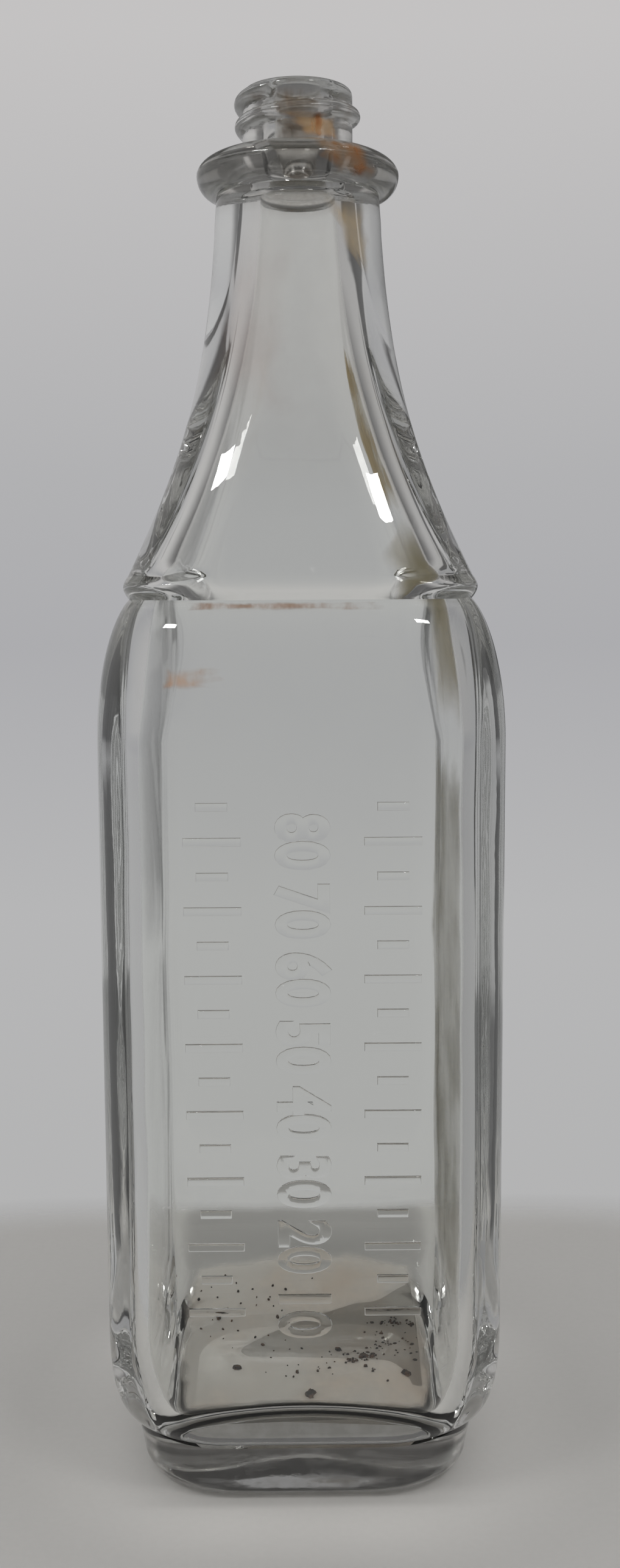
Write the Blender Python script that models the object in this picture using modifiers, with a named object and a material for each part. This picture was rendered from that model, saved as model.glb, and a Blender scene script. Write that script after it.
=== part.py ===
# A square hair tonic bottle in clear glass, empty, with dried tonic on its right side.
# The origin is the centre of the foot, +Z is up and the front panel faces -Y. Sizes are in metres.
import math

import bmesh
import bpy
from mathutils import Matrix, Vector

# Heights of the outer shape, stacked from the foot up to the rim
FOOT_HEIGHT = 0.0089
HEEL_HEIGHT = 0.0151
PANEL_HEIGHT = 0.0830
SHOULDER_HEIGHT = 0.0187
BAND_HEIGHT = 0.0033
NECK_HEIGHT = 0.0523
RING_LOWER_HEIGHT = 0.0030
RING_UPPER_HEIGHT = 0.0031
FINISH_HEIGHT = 0.0086

# Widths across the flats, each with the radius of its upright corners
FOOT_WIDTH = 0.0492
FOOT_CORNER = 0.0138
BODY_WIDTH = 0.0553
BODY_CORNER = 0.0102
NECK_BASE_WIDTH = 0.0472
NECK_BASE_CORNER = 0.0125
BAND_RISE = 0.0004
BAND_CORNER = 0.0092
NECK_TOP_DIAMETER = 0.0228
RING_DIAMETER = 0.0283
FINISH_DIAMETER = 0.0154

# Underside and edges
PUSH_UP_DEPTH = 0.0016
BEARING_WIDTH = 0.0042
FOOT_EDGE = 0.0032
FOOT_TAPER = 0.0010
FOOT_GROOVE = 0.0003
RIM_EDGE = 0.0010

# How far the two ends of each smooth curve keep their own direction: up the bottle, then sideways
HEEL_BASE_REACH = (0.0012, 0.0020)
HEEL_TOP_REACH = (0.0095, 0.0)
SHOULDER_TURN = math.radians(70)
NECK_BASE_REACH = (0.0170, 0.0077)
NECK_TOP_REACH = (0.0255, 0.0015)
NECK_SQUARE_HEIGHT = 0.0410
NECK_SQUARE_POWER = 1.3

# Screw thread: the crest diameter, the rise of one turn and the radius of its rounded ridge
THREAD_DIAMETER = 0.0176
THREAD_PITCH = 0.003175
THREAD_RIDGE = 0.00115
THREAD_TURNS = 1.25
THREAD_START = math.radians(246)
THREAD_TOP_DROP = 0.0015
THREAD_FADE = math.radians(35)
THREAD_END = 0.35

# Cavity: the walls round it, its floor and the bore through the finish
BODY_WALL = 0.0055
SHOULDER_WALL = 0.0046
NECK_WALL = 0.0061
FLOOR_THICKNESS = 0.0126
FLOOR_FILLET_HEIGHT = 0.0120
FLOOR_FILLET_WIDTH = 0.0052
FLOOR_DIP = 0.0024
FLOOR_DIP_START = 0.0130
FLOOR_CLIMB = 0.0055
FLOOR_CLIMB_FRONT = -0.0060
FLOOR_CLIMB_BACK = 0.0210
FLOOR_CORNER_SHARE = 0.45
FLOOR_SHARES = (0.12, 0.35, 0.6, 0.82)
INNER_SHOULDER_TURN = math.radians(37)
INNER_BASE_REACH = (0.0110, 0.0056)
INNER_TOP_REACH = (0.0254, 0.0013)
CAVITY_TOP_DROP = 0.0011
BORE_DIAMETER = 0.0064
BORE_FLARE_DIAMETER = 0.0088
BORE_SHELF_HEIGHT = 0.0012
BORE_FLARE_HEIGHT = 0.0054
MOUTH_EDGE = 0.0007

# Raised graduations on the front panel: two plain ladders of long and short bars
GRADUATION_INSET = 0.0056
GRADUATION_LONG = 0.0076
GRADUATION_SHORT = 0.0042
GRADUATION_STROKE = 0.0011
GRADUATION_RISE = 0.0004
GRADUATION_ROOT = 0.0006
GRADUATION_PITCH = 0.0046
GRADUATION_MARGIN = 0.0060

# Dried films: their thickness, the gap to the glass and the gap between two films in a row
FILM_THICKNESS = 0.0003
FILM_GAP = 0.0003
FILM_SPACING = 0.0009

# The two ends of each film, lower then upper: its middle and its width, both as turns round the bottle.
# Turn 0 is the middle of the right-hand side and 0.75 the middle of the front.
BODY_FILM_TURNS = ((0.0, 0.150), (0.0, 0.150))
SHOULDER_FILM_TURNS = ((0.0, 0.200), (-0.01, 0.190))
NECK_FILM_TURNS = ((-0.01, 0.160), (0.0, 0.060))
BORE_FILM_TURNS = ((0.78, 0.120), (0.78, 0.120))
FINISH_DRIBBLE_TURNS = ((0.825, 0.125), (0.815, 0.120))
RING_DRIBBLE_TURNS = ((0.835, 0.080), (0.815, 0.100))
NECK_DRIBBLE_TURNS = ((0.915, 0.018), (0.860, 0.100))

# How far the films reach: past the band, up the neck, up the finish and down the neck
SHOULDER_FILM_RISE = 0.0095
NECK_FILM_DROP = 0.0190
FINISH_DRIBBLE_HEIGHT = 0.0022
NECK_DRIBBLE_LENGTH = 0.0102
DRIBBLE_MARGIN = 0.0005

# Loose flakes on the inner floor: place across and in depth as shares of half the floor's width,
# then width and thickness
FLAKES = (
    (0.04, -0.98, 0.0022, 0.0005),
    (0.86, -0.60, 0.0014, 0.0005),
    (0.51, -0.34, 0.0016, 0.0004),
    (0.29, -0.22, 0.0012, 0.0004),
    (-0.58, -0.54, 0.0014, 0.0004),
    (-0.77, 0.31, 0.0012, 0.0004),
)
FLAKE_GAP = 0.0003
FLAKE_SIDES = 7
FLAKE_SWELL = 0.28
FLAKE_RIPPLE = 0.12
FLAKE_SQUASH = 0.8
FLAKE_TURN = 1.3

# Mesh fineness
SECTION_POINTS = 48
FLAT_WEIGHT = 0.35
CURVE_STEPS = 10
NECK_STEPS = 12
EDGE_STEPS = 4
RING_STEPS = 7
THREAD_STEPS_PER_TURN = 24
FILM_COLUMNS = 5
BODY_FILM_ROWS = 12
FILM_ROWS = 8
SHORT_FILM_ROWS = 3
WELD_DISTANCE = 0.00001

# Heights of the joints between the stretches of the outer shape
HEEL_TOP = FOOT_HEIGHT + HEEL_HEIGHT
PANEL_TOP = HEEL_TOP + PANEL_HEIGHT
BAND_BASE = PANEL_TOP + SHOULDER_HEIGHT
BAND_TOP = BAND_BASE + BAND_HEIGHT
NECK_TOP = BAND_TOP + NECK_HEIGHT
RING_MIDDLE = NECK_TOP + RING_LOWER_HEIGHT
RING_TOP = RING_MIDDLE + RING_UPPER_HEIGHT
RIM = RING_TOP + FINISH_HEIGHT

# Heights inside the bottle
CAVITY_TOP = NECK_TOP - CAVITY_TOP_DROP
BORE_FLARE_BASE = CAVITY_TOP + BORE_SHELF_HEIGHT
BORE_FLARE_TOP = BORE_FLARE_BASE + BORE_FLARE_HEIGHT


def blend(start, end, share):
    return start + (end - start) * share


def section_point(half_width, corner, turn):
    # A point on a square with round corners. Turn 0 is the middle of the +X side and 0.25 of the +Y side.
    # Flats get fewer points than their length, so that the corners stay smooth.
    flat = half_width - corner
    weighted_flat = FLAT_WEIGHT * flat
    eighth = weighted_flat + corner * math.pi / 4
    side = round(turn * 4)
    along = (turn * 4 - side) * 2 * eighth
    if abs(along) <= weighted_flat:
        x = half_width
        y = along / FLAT_WEIGHT
    else:
        angle = (abs(along) - weighted_flat) / corner
        x = flat + corner * math.cos(angle)
        y = math.copysign(flat + corner * math.sin(angle), along)
    heading = side * math.pi / 2
    return (
        x * math.cos(heading) - y * math.sin(heading),
        x * math.sin(heading) + y * math.cos(heading),
    )


def bezier(start, start_reach, end_reach, end, steps):
    # Points (height, half width) on a cubic curve, without its first point.
    # A reach is how far the curve leaves its end up the bottle, and how far inward or outward.
    first = (start[0] + start_reach[0], start[1] + start_reach[1])
    last = (end[0] - end_reach[0], end[1] + end_reach[1])
    points = []
    for step in range(1, steps + 1):
        share = step / steps
        rest = 1 - share
        weights = (rest ** 3, 3 * rest ** 2 * share, 3 * rest * share ** 2, share ** 3)
        corners = (start, first, last, end)
        height = sum(weight * point[0] for weight, point in zip(weights, corners))
        width = sum(weight * point[1] for weight, point in zip(weights, corners))
        points.append((height, width))
    return points


def round_in(start, end, turn, steps):
    # Points (height, half width) on an arc that leaves start straight up and bends in to end,
    # without its first point.
    points = []
    for step in range(1, steps + 1):
        angle = turn * step / steps
        rise = math.sin(angle) / math.sin(turn)
        drift = (1 - math.cos(angle)) / (1 - math.cos(turn))
        points.append((blend(start[0], end[0], rise), blend(start[1], end[1], drift)))
    return points


def neck_flat(height):
    # Half the flat's width at a height of the neck: it fades out where the neck turns round.
    share = (height - BAND_TOP) / NECK_SQUARE_HEIGHT
    share = min(max(share, 0.0), 1.0)
    return (NECK_BASE_WIDTH / 2 - NECK_BASE_CORNER) * (1 - share) ** NECK_SQUARE_POWER


def underside_rings():
    # The push-up, the flat bearing face round it and the rounded edge of the foot, which tapers down to it
    outer = FOOT_WIDTH / 2 - FOOT_TAPER
    corner_share = 2 * FOOT_CORNER / FOOT_WIDTH
    bearing_outer = outer - FOOT_EDGE
    bearing_inner = bearing_outer - BEARING_WIDTH
    rings = []
    for step in range(1, EDGE_STEPS + 1):
        share = step / EDGE_STEPS
        inset = bearing_inner * share
        rings.append((PUSH_UP_DEPTH * (1 - share ** 2), inset, inset * corner_share))
    for step in range(EDGE_STEPS + 1):
        angle = math.pi / 2 * step / EDGE_STEPS
        width = outer - FOOT_EDGE * (1 - math.sin(angle))
        rings.append((FOOT_EDGE * (1 - math.cos(angle)), width, width * corner_share))
    return rings


def heel_rings():
    # A shallow groove over the foot, then the heel swelling out to the body
    groove = (FOOT_HEIGHT, FOOT_WIDTH / 2 - FOOT_GROOVE)
    body = (HEEL_TOP, BODY_WIDTH / 2)
    rings = [(FOOT_HEIGHT - FOOT_GROOVE, FOOT_WIDTH / 2, FOOT_CORNER), groove + (FOOT_CORNER,)]
    for height, width in bezier(groove, HEEL_BASE_REACH, HEEL_TOP_REACH, body, CURVE_STEPS):
        share = (width - groove[1]) / (body[1] - groove[1])
        rings.append((height, width, blend(FOOT_CORNER, BODY_CORNER, share)))
    return rings


def shoulder_rings():
    # The body's rounded shoulder, up to the foot of the band
    start = (PANEL_TOP, BODY_WIDTH / 2)
    end = (BAND_BASE, NECK_BASE_WIDTH / 2)
    rings = [start + (BODY_CORNER,)]
    for height, width in round_in(start, end, SHOULDER_TURN, CURVE_STEPS):
        share = (height - PANEL_TOP) / SHOULDER_HEIGHT
        rings.append((height, width, blend(BODY_CORNER, NECK_BASE_CORNER, share)))
    return rings


def band_rings():
    # The band has tighter corners than the neck and body, so it stands out most at the corners
    rings = []
    for step in range(1, 2 * EDGE_STEPS + 1):
        share = step / (2 * EDGE_STEPS)
        swell = math.sin(math.pi * share)
        corner = blend(NECK_BASE_CORNER, BAND_CORNER, swell)
        rings.append((blend(BAND_BASE, BAND_TOP, share), NECK_BASE_WIDTH / 2 + BAND_RISE * swell, corner))
    return rings


def neck_rings():
    # The flared neck, which turns from a square with round corners to a circle
    start = (BAND_TOP, NECK_BASE_WIDTH / 2)
    end = (NECK_TOP, NECK_TOP_DIAMETER / 2)
    base_reach = (NECK_BASE_REACH[0], -NECK_BASE_REACH[1])
    rings = []
    for height, width in bezier(start, base_reach, NECK_TOP_REACH, end, NECK_STEPS):
        rings.append((height, width, width - neck_flat(height)))
    return rings


def ring_rings():
    # The heavy round ring: a tight lower quarter and a broad upper quarter
    widest = RING_DIAMETER / 2
    lower = widest - NECK_TOP_DIAMETER / 2
    upper = widest - FINISH_DIAMETER / 2
    rings = []
    for step in range(1, RING_STEPS + 1):
        angle = math.pi / 2 * step / RING_STEPS
        width = widest - lower * (1 - math.sin(angle))
        rings.append((RING_MIDDLE - RING_LOWER_HEIGHT * math.cos(angle), width, width))
    for step in range(1, RING_STEPS + 1):
        angle = math.pi / 2 * step / RING_STEPS
        width = widest - upper * (1 - math.cos(angle))
        rings.append((RING_MIDDLE + RING_UPPER_HEIGHT * math.sin(angle), width, width))
    return rings


def finish_rings():
    # The plain wall under the thread and the rounded edge of the rim
    width = FINISH_DIAMETER / 2
    rings = []
    for step in range(EDGE_STEPS + 1):
        angle = math.pi / 2 * step / EDGE_STEPS
        inset = RIM_EDGE * (1 - math.cos(angle))
        rings.append((RIM - RIM_EDGE + RIM_EDGE * math.sin(angle), width - inset, width - inset))
    return rings


def outer_rings():
    return (
        underside_rings()
        + heel_rings()
        + shoulder_rings()
        + band_rings()
        + neck_rings()
        + ring_rings()
        + finish_rings()
    )


def ease(value, low, high):
    share = min(max((value - low) / (high - low), 0.0), 1.0)
    return share * share * (3 - 2 * share)


def floor_sink(x, y, height):
    # The inner floor sinks towards its front corners and climbs towards the back
    reach = ease(math.hypot(x, y), FLOOR_DIP_START, BODY_WIDTH / 2)
    back = ease(y, FLOOR_CLIMB_FRONT, FLOOR_CLIMB_BACK)
    settled = 1 - ease(height, FLOOR_THICKNESS, FLOOR_THICKNESS + 1.5 * FLOOR_FILLET_HEIGHT)
    return (FLOOR_DIP * reach * (1 - back) - FLOOR_CLIMB * back) * settled


def floor_rings():
    # The inner floor and the fillet round it
    width = BODY_WIDTH / 2 - BODY_WALL
    corner = BODY_CORNER - BODY_WALL
    rings = []
    for share in FLOOR_SHARES:
        inner = (width - FLOOR_FILLET_WIDTH) * share
        edge_share = corner * FLOOR_CORNER_SHARE / (width - FLOOR_FILLET_WIDTH)
        rings.append((FLOOR_THICKNESS, inner, inner * blend(1.0, edge_share, share)))
    for step in range(EDGE_STEPS + 1):
        angle = math.pi / 2 * step / EDGE_STEPS
        height = FLOOR_THICKNESS + FLOOR_FILLET_HEIGHT * (1 - math.cos(angle))
        inset = FLOOR_FILLET_WIDTH * (1 - math.sin(angle))
        share = math.sin(angle)
        rings.append((height, width - inset, corner * blend(FLOOR_CORNER_SHARE, 1.0, share)))
    return rings


def inner_shoulder_rings():
    # The cavity's shoulder, from the straight walls to the middle of the band
    start = (PANEL_TOP, BODY_WIDTH / 2 - BODY_WALL)
    end = ((BAND_BASE + BAND_TOP) / 2, NECK_BASE_WIDTH / 2 - SHOULDER_WALL)
    body_flat = BODY_WIDTH / 2 - BODY_CORNER
    rings = [start + (BODY_CORNER - BODY_WALL,)]
    for height, width in round_in(start, end, INNER_SHOULDER_TURN, CURVE_STEPS):
        share = (height - start[0]) / (end[0] - start[0])
        rings.append((height, width, width - blend(body_flat, neck_flat(BAND_TOP), share)))
    return rings


def inner_neck_rings():
    # The cavity's neck, which turns round as the outside does
    start = ((BAND_BASE + BAND_TOP) / 2, NECK_BASE_WIDTH / 2 - SHOULDER_WALL)
    end = (CAVITY_TOP, NECK_TOP_DIAMETER / 2 - NECK_WALL)
    base_reach = (INNER_BASE_REACH[0], -INNER_BASE_REACH[1])
    rings = []
    for height, width in bezier(start, base_reach, INNER_TOP_REACH, end, NECK_STEPS):
        rings.append((height, width, width - neck_flat(height)))
    return rings


def bore_rings():
    # The rounded shelf over the neck, the flare and the narrow bore
    shelf = (CAVITY_TOP, NECK_TOP_DIAMETER / 2 - NECK_WALL)
    flare = (BORE_FLARE_BASE, BORE_FLARE_DIAMETER / 2)
    rings = []
    for height, width in round_in(shelf, flare, math.pi / 2, EDGE_STEPS):
        rings.append((height, width, width))
    rings.append((BORE_FLARE_TOP, BORE_DIAMETER / 2, BORE_DIAMETER / 2))
    return rings


def mouth_rings():
    # The bore's rounded mouth, carried on past the rim so that the cut goes right through
    rings = []
    for step in range(EDGE_STEPS + 1):
        angle = math.pi / 2 * step / EDGE_STEPS
        width = BORE_DIAMETER / 2 + MOUTH_EDGE * (1 - math.cos(angle))
        rings.append((RIM - MOUTH_EDGE + MOUTH_EDGE * math.sin(angle), width, width))
    last = rings[-1]
    rings.append((last[0] + MOUTH_EDGE, last[1], last[2]))
    return rings


def cavity_rings():
    return floor_rings() + inner_shoulder_rings() + inner_neck_rings() + bore_rings() + mouth_rings()


def make_material(name, colour, roughness, transmission=0.0):
    made = bpy.data.materials.new(name)
    made.use_nodes = True
    made.diffuse_color = (*colour, 1.0)
    shader = made.node_tree.nodes["Principled BSDF"]
    shader.inputs["Base Color"].default_value = (*colour, 1.0)
    shader.inputs["Roughness"].default_value = roughness
    shader.inputs["Metallic"].default_value = 0.0
    shader.inputs["Transmission Weight"].default_value = transmission
    return made


def add_object(name, bm, collection):
    mesh = bpy.data.meshes.new(name)
    bm.to_mesh(mesh)
    bm.free()
    made = bpy.data.objects.new(name, mesh)
    collection.objects.link(made)
    return made


def loop_edges(verts):
    # The edges that join neighbouring verts of one section
    chosen = set(verts)
    edges = set()
    for vert in verts:
        edges.update(edge for edge in vert.link_edges if edge.other_vert(vert) in chosen)
    return list(edges)


def loft(name, rings, collection, sink=None):
    # A closed skin over a stack of sections: one loop of edges is extruded from ring to ring
    bm = bmesh.new()
    place = bm.verts.layers.int.new("place")
    verts = bmesh.ops.create_circle(bm, cap_ends=True, segments=SECTION_POINTS, radius=1.0)["verts"]
    for number, vert in enumerate(verts):
        vert[place] = number
    for number, (height, half_width, corner) in enumerate(rings):
        if number:
            grown = bmesh.ops.extrude_edge_only(bm, edges=loop_edges(verts))
            verts = [part for part in grown["geom"] if isinstance(part, bmesh.types.BMVert)]
        for vert in verts:
            x, y = section_point(half_width, corner, vert[place] / SECTION_POINTS)
            vert.co = (x, y, height - sink(x, y, height) if sink else height)
    bmesh.ops.holes_fill(bm, edges=loop_edges(verts), sides=0)
    bmesh.ops.recalc_face_normals(bm, faces=bm.faces)
    return add_object(name, bm, collection)


def make_thread(collection):
    # A right-hand ridge, half sunk in the wall, that starts at the front left under the rim and runs
    # down to the right of it. Its ends sink into the wall and thin out.
    curve = bpy.data.curves.new("thread_path", "CURVE")
    curve.dimensions = "3D"
    curve.bevel_depth = THREAD_RIDGE
    curve.bevel_resolution = 2
    curve.use_fill_caps = True
    whole = THREAD_TURNS * 2 * math.pi
    steps = round(THREAD_TURNS * THREAD_STEPS_PER_TURN)
    path = curve.splines.new("POLY")
    path.points.add(steps)
    for step, point in enumerate(path.points):
        along = whole * step / steps
        fade = min(along, whole - along, THREAD_FADE) / THREAD_FADE
        fade = math.sin(fade * math.pi / 2)
        radius = THREAD_DIAMETER / 2 - THREAD_RIDGE - (1 - fade) * THREAD_RIDGE / 2
        heading = THREAD_START - along
        height = RIM - THREAD_TOP_DROP - THREAD_PITCH * along / (2 * math.pi)
        point.co = (radius * math.cos(heading), radius * math.sin(heading), height, 1.0)
        point.radius = blend(THREAD_END, 1.0, fade)
    guide = bpy.data.objects.new("thread_path", curve)
    collection.objects.link(guide)
    bpy.context.view_layer.update()
    evaluated = guide.evaluated_get(bpy.context.evaluated_depsgraph_get())
    bm = bmesh.new()
    bm.from_mesh(bpy.data.meshes.new_from_object(evaluated))
    bmesh.ops.remove_doubles(bm, verts=bm.verts, dist=WELD_DISTANCE)
    bmesh.ops.recalc_face_normals(bm, faces=bm.faces)
    bpy.data.objects.remove(guide)
    return add_object("thread_ridge", bm, collection)


def make_graduations(collection):
    # Two ladders of raised bars on the front panel, long and short by turns
    bm = bmesh.new()
    low = HEEL_TOP + GRADUATION_MARGIN
    high = PANEL_TOP - GRADUATION_MARGIN
    count = math.floor((high - low) / GRADUATION_PITCH) + 1
    depth = GRADUATION_RISE + GRADUATION_ROOT
    middle = -BODY_WIDTH / 2 - GRADUATION_RISE + depth / 2
    column_place = BODY_WIDTH / 2 - BODY_CORNER - GRADUATION_INSET
    for column in (-column_place, column_place):
        for number in range(count):
            length = GRADUATION_SHORT if number % 2 else GRADUATION_LONG
            cube = bmesh.ops.create_cube(bm, size=1.0)["verts"]
            bmesh.ops.scale(bm, verts=cube, vec=(length, depth, GRADUATION_STROKE))
            place = (column, middle, low + number * GRADUATION_PITCH)
            bmesh.ops.translate(bm, verts=cube, vec=place)
    return add_object("graduation_bars", bm, collection)


def boolean(target, cutter, operation):
    modifier = target.modifiers.new(cutter.name, "BOOLEAN")
    modifier.operation = operation
    modifier.solver = "EXACT"
    modifier.object = cutter
    cutter.hide_render = True
    cutter.display_type = "WIRE"


def make_bottle(parts, cutters):
    bottle = loft("glass_bottle", outer_rings(), parts)
    boolean(bottle, make_thread(cutters), "UNION")
    boolean(bottle, make_graduations(cutters), "UNION")
    boolean(bottle, loft("cavity", cavity_rings(), cutters, floor_sink), "DIFFERENCE")
    bottle.data.shade_smooth()
    bottle.data.materials.append(make_material("clear_glass", (0.86, 0.88, 0.85), 0.03, 1.0))


def stretch(rings, low, high, count):
    # The part of a profile between two heights, as evenly spaced rings
    path = [ring for ring in rings if low < ring[0] < high]
    path = [ring_at(rings, low)] + path + [ring_at(rings, high)]
    lengths = [0.0]
    for last, ring in zip(path, path[1:]):
        lengths.append(lengths[-1] + math.hypot(ring[0] - last[0], ring[1] - last[1]))
    even = []
    for step in range(count + 1):
        target = lengths[-1] * step / count
        index = max(number for number, length in enumerate(lengths[:-1]) if length <= target)
        share = (target - lengths[index]) / (lengths[index + 1] - lengths[index])
        even.append(tuple(blend(a, b, share) for a, b in zip(path[index], path[index + 1])))
    return even


def ring_at(rings, height):
    for last, ring in zip(rings, rings[1:]):
        if last[0] <= height <= ring[0] and ring[0] > last[0]:
            share = (height - last[0]) / (ring[0] - last[0])
            return tuple(blend(a, b, share) for a, b in zip(last, ring))
    raise ValueError("no ring at this height")


def offset_rings(rings, distance):
    # The same stretch moved square to its own slope: outward from the axis if distance is positive
    moved = []
    for number, (height, half_width, corner) in enumerate(rings):
        last = rings[max(number - 1, 0)]
        following = rings[min(number + 1, len(rings) - 1)]
        rise = following[0] - last[0]
        drift = following[1] - last[1]
        length = math.hypot(rise, drift)
        out = distance * rise / length
        moved.append((height - distance * drift / length, half_width + out, corner + out))
    return moved


def make_film(name, rings, low, high, ends, side, rows, finish, parts):
    # A thin dried film along a wall, between two heights. Side is 1 outside the glass and -1 inside it.
    path = offset_rings(stretch(rings, low, high, rows), side * (FILM_GAP + FILM_THICKNESS / 2))
    lower, upper = ends
    bm = bmesh.new()
    bmesh.ops.create_grid(bm, x_segments=FILM_COLUMNS, y_segments=rows, size=1.0)
    for vert in bm.verts:
        share = (vert.co.y + 1) / 2
        height, half_width, corner = path[round(share * rows)]
        middle = blend(lower[0], upper[0], share)
        width = blend(lower[1], upper[1], share)
        x, y = section_point(half_width, corner, middle + width * vert.co.x / 2)
        vert.co = (x, y, height)
    film = add_object(name, bm, parts)
    film.data.shade_smooth()
    thick = film.modifiers.new("thickness", "SOLIDIFY")
    thick.thickness = FILM_THICKNESS
    thick.offset = 0.0
    film.data.materials.append(finish)


def make_inner_films(parts):
    # The tonic that dried along the right-hand side of the cavity
    rings = cavity_rings()
    amber = make_material("dried_tonic", (0.42, 0.27, 0.10), 0.45)
    body_low = FLOOR_THICKNESS + FLOOR_FILLET_HEIGHT + FILM_SPACING
    body_high = PANEL_TOP
    shoulder_low = body_high + FILM_SPACING
    shoulder_high = BAND_TOP + SHOULDER_FILM_RISE
    neck_low = shoulder_high + FILM_SPACING
    neck_high = NECK_TOP - NECK_FILM_DROP
    make_film("film_body", rings, body_low, body_high, BODY_FILM_TURNS, -1, BODY_FILM_ROWS, amber, parts)
    make_film(
        "film_shoulder", rings, shoulder_low, shoulder_high, SHOULDER_FILM_TURNS, -1, FILM_ROWS, amber, parts
    )
    make_film("film_neck", rings, neck_low, neck_high, NECK_FILM_TURNS, -1, FILM_ROWS, amber, parts)


def make_dribbles(parts):
    # The brown residue in the bore, and its dribble down the front right of the finish, ring and neck
    rust = make_material("brown_dribble", (0.36, 0.16, 0.04), 0.5)
    bore_low = BORE_FLARE_TOP + FILM_SPACING
    bore_high = RIM - MOUTH_EDGE - FILM_SPACING
    finish_low = RING_TOP + DRIBBLE_MARGIN
    finish_high = finish_low + FINISH_DRIBBLE_HEIGHT
    ring_low = NECK_TOP + DRIBBLE_MARGIN
    ring_high = RING_TOP - DRIBBLE_MARGIN
    neck_high = NECK_TOP - FILM_SPACING
    neck_low = neck_high - NECK_DRIBBLE_LENGTH
    inside = cavity_rings()
    outside = outer_rings()
    make_film("film_bore", inside, bore_low, bore_high, BORE_FILM_TURNS, -1, SHORT_FILM_ROWS, rust, parts)
    make_film(
        "dribble_finish", outside, finish_low, finish_high, FINISH_DRIBBLE_TURNS, 1, FILM_ROWS, rust, parts
    )
    make_film("dribble_ring", outside, ring_low, ring_high, RING_DRIBBLE_TURNS, 1, FILM_ROWS, rust, parts)
    make_film("dribble_neck", outside, neck_low, neck_high, NECK_DRIBBLE_TURNS, 1, FILM_ROWS, rust, parts)


def make_flakes(parts):
    # Irregular chips of dried residue, lying flat on the inner floor
    dark = make_material("dark_flake", (0.03, 0.02, 0.015), 0.7)
    floor = BODY_WIDTH / 2 - BODY_WALL - FLOOR_FILLET_WIDTH
    for number, (across, deep, width, thickness) in enumerate(FLAKES, start=1):
        bm = bmesh.new()
        chip = bmesh.ops.create_cone(
            bm,
            cap_ends=True,
            segments=FLAKE_SIDES,
            radius1=width / 2,
            radius2=width / 2,
            depth=thickness,
        )["verts"]
        for vert in chip:
            heading = math.atan2(vert.co.y, vert.co.x)
            ripple = FLAKE_RIPPLE * math.cos(3 * heading - number)
            swell = 1 + FLAKE_SWELL * math.sin(2 * heading + number) + ripple
            vert.co.x *= swell
            vert.co.y *= swell * FLAKE_SQUASH
        flake = add_object(f"floor_flake_{number}", bm, parts)
        x, y = across * floor, deep * floor
        low, step = FLOOR_THICKNESS, width / 2
        slope_x = floor_sink(x + step, y, low) - floor_sink(x - step, y, low)
        slope_y = floor_sink(x, y + step, low) - floor_sink(x, y - step, low)
        normal = Vector((slope_x, slope_y, width)).normalized()
        foot = Vector((x, y, low - floor_sink(x, y, low)))
        turn = Matrix.Rotation(number * FLAKE_TURN, 4, "Z")
        tilt = Vector((0, 0, 1)).rotation_difference(normal).to_matrix().to_4x4()
        flake.matrix_world = Matrix.Translation(foot + normal * (FLAKE_GAP + thickness / 2)) @ tilt @ turn
        flake.data.materials.append(dark)


def main():
    for old in list(bpy.data.objects):
        bpy.data.objects.remove(old)
    parts = bpy.data.collections.new("hair_tonic_bottle")
    cutters = bpy.data.collections.new("cutters")
    bpy.context.scene.collection.children.link(parts)
    bpy.context.scene.collection.children.link(cutters)
    make_bottle(parts, cutters)
    make_inner_films(parts)
    make_dribbles(parts)
    make_flakes(parts)


main()
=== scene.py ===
# A square glass hair tonic bottle, emptied, with dried tonic down its right-hand side.
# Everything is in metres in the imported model's frame: +Z up, the front panel towards -Y.
import math
import random

import bmesh
import bpy
from mathutils import Matrix, Vector, noise


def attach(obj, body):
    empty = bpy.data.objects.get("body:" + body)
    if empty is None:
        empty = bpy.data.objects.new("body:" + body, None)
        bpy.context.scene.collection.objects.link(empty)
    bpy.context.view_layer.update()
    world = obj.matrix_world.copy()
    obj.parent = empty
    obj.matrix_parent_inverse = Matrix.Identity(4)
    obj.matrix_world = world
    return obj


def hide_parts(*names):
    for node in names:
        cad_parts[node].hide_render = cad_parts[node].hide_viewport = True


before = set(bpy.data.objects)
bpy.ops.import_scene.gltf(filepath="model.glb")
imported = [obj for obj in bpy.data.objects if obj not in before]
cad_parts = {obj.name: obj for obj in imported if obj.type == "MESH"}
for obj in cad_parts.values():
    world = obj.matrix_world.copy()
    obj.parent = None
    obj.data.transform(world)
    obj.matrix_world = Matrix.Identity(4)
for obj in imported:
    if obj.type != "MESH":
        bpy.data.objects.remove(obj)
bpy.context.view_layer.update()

scene = bpy.context.scene
scene.view_settings.view_transform = "Standard"
scene.cycles.max_bounces = 32           # thick glass needs long light paths
scene.cycles.glossy_bounces = 24
scene.cycles.transmission_bounces = 32


def mix(start, end, share):
    return start + (end - start) * share


def shares(steps):
    # Even shares of a whole, without 0
    return [step / steps for step in range(1, steps + 1)]


def smoothShare(value, low, high):
    # 0 below low, 1 above high and an easy rise between them
    share = min(max((value - low) / (high - low), 0.0), 1.0)
    return share * share * (3 - 2 * share)


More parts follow.
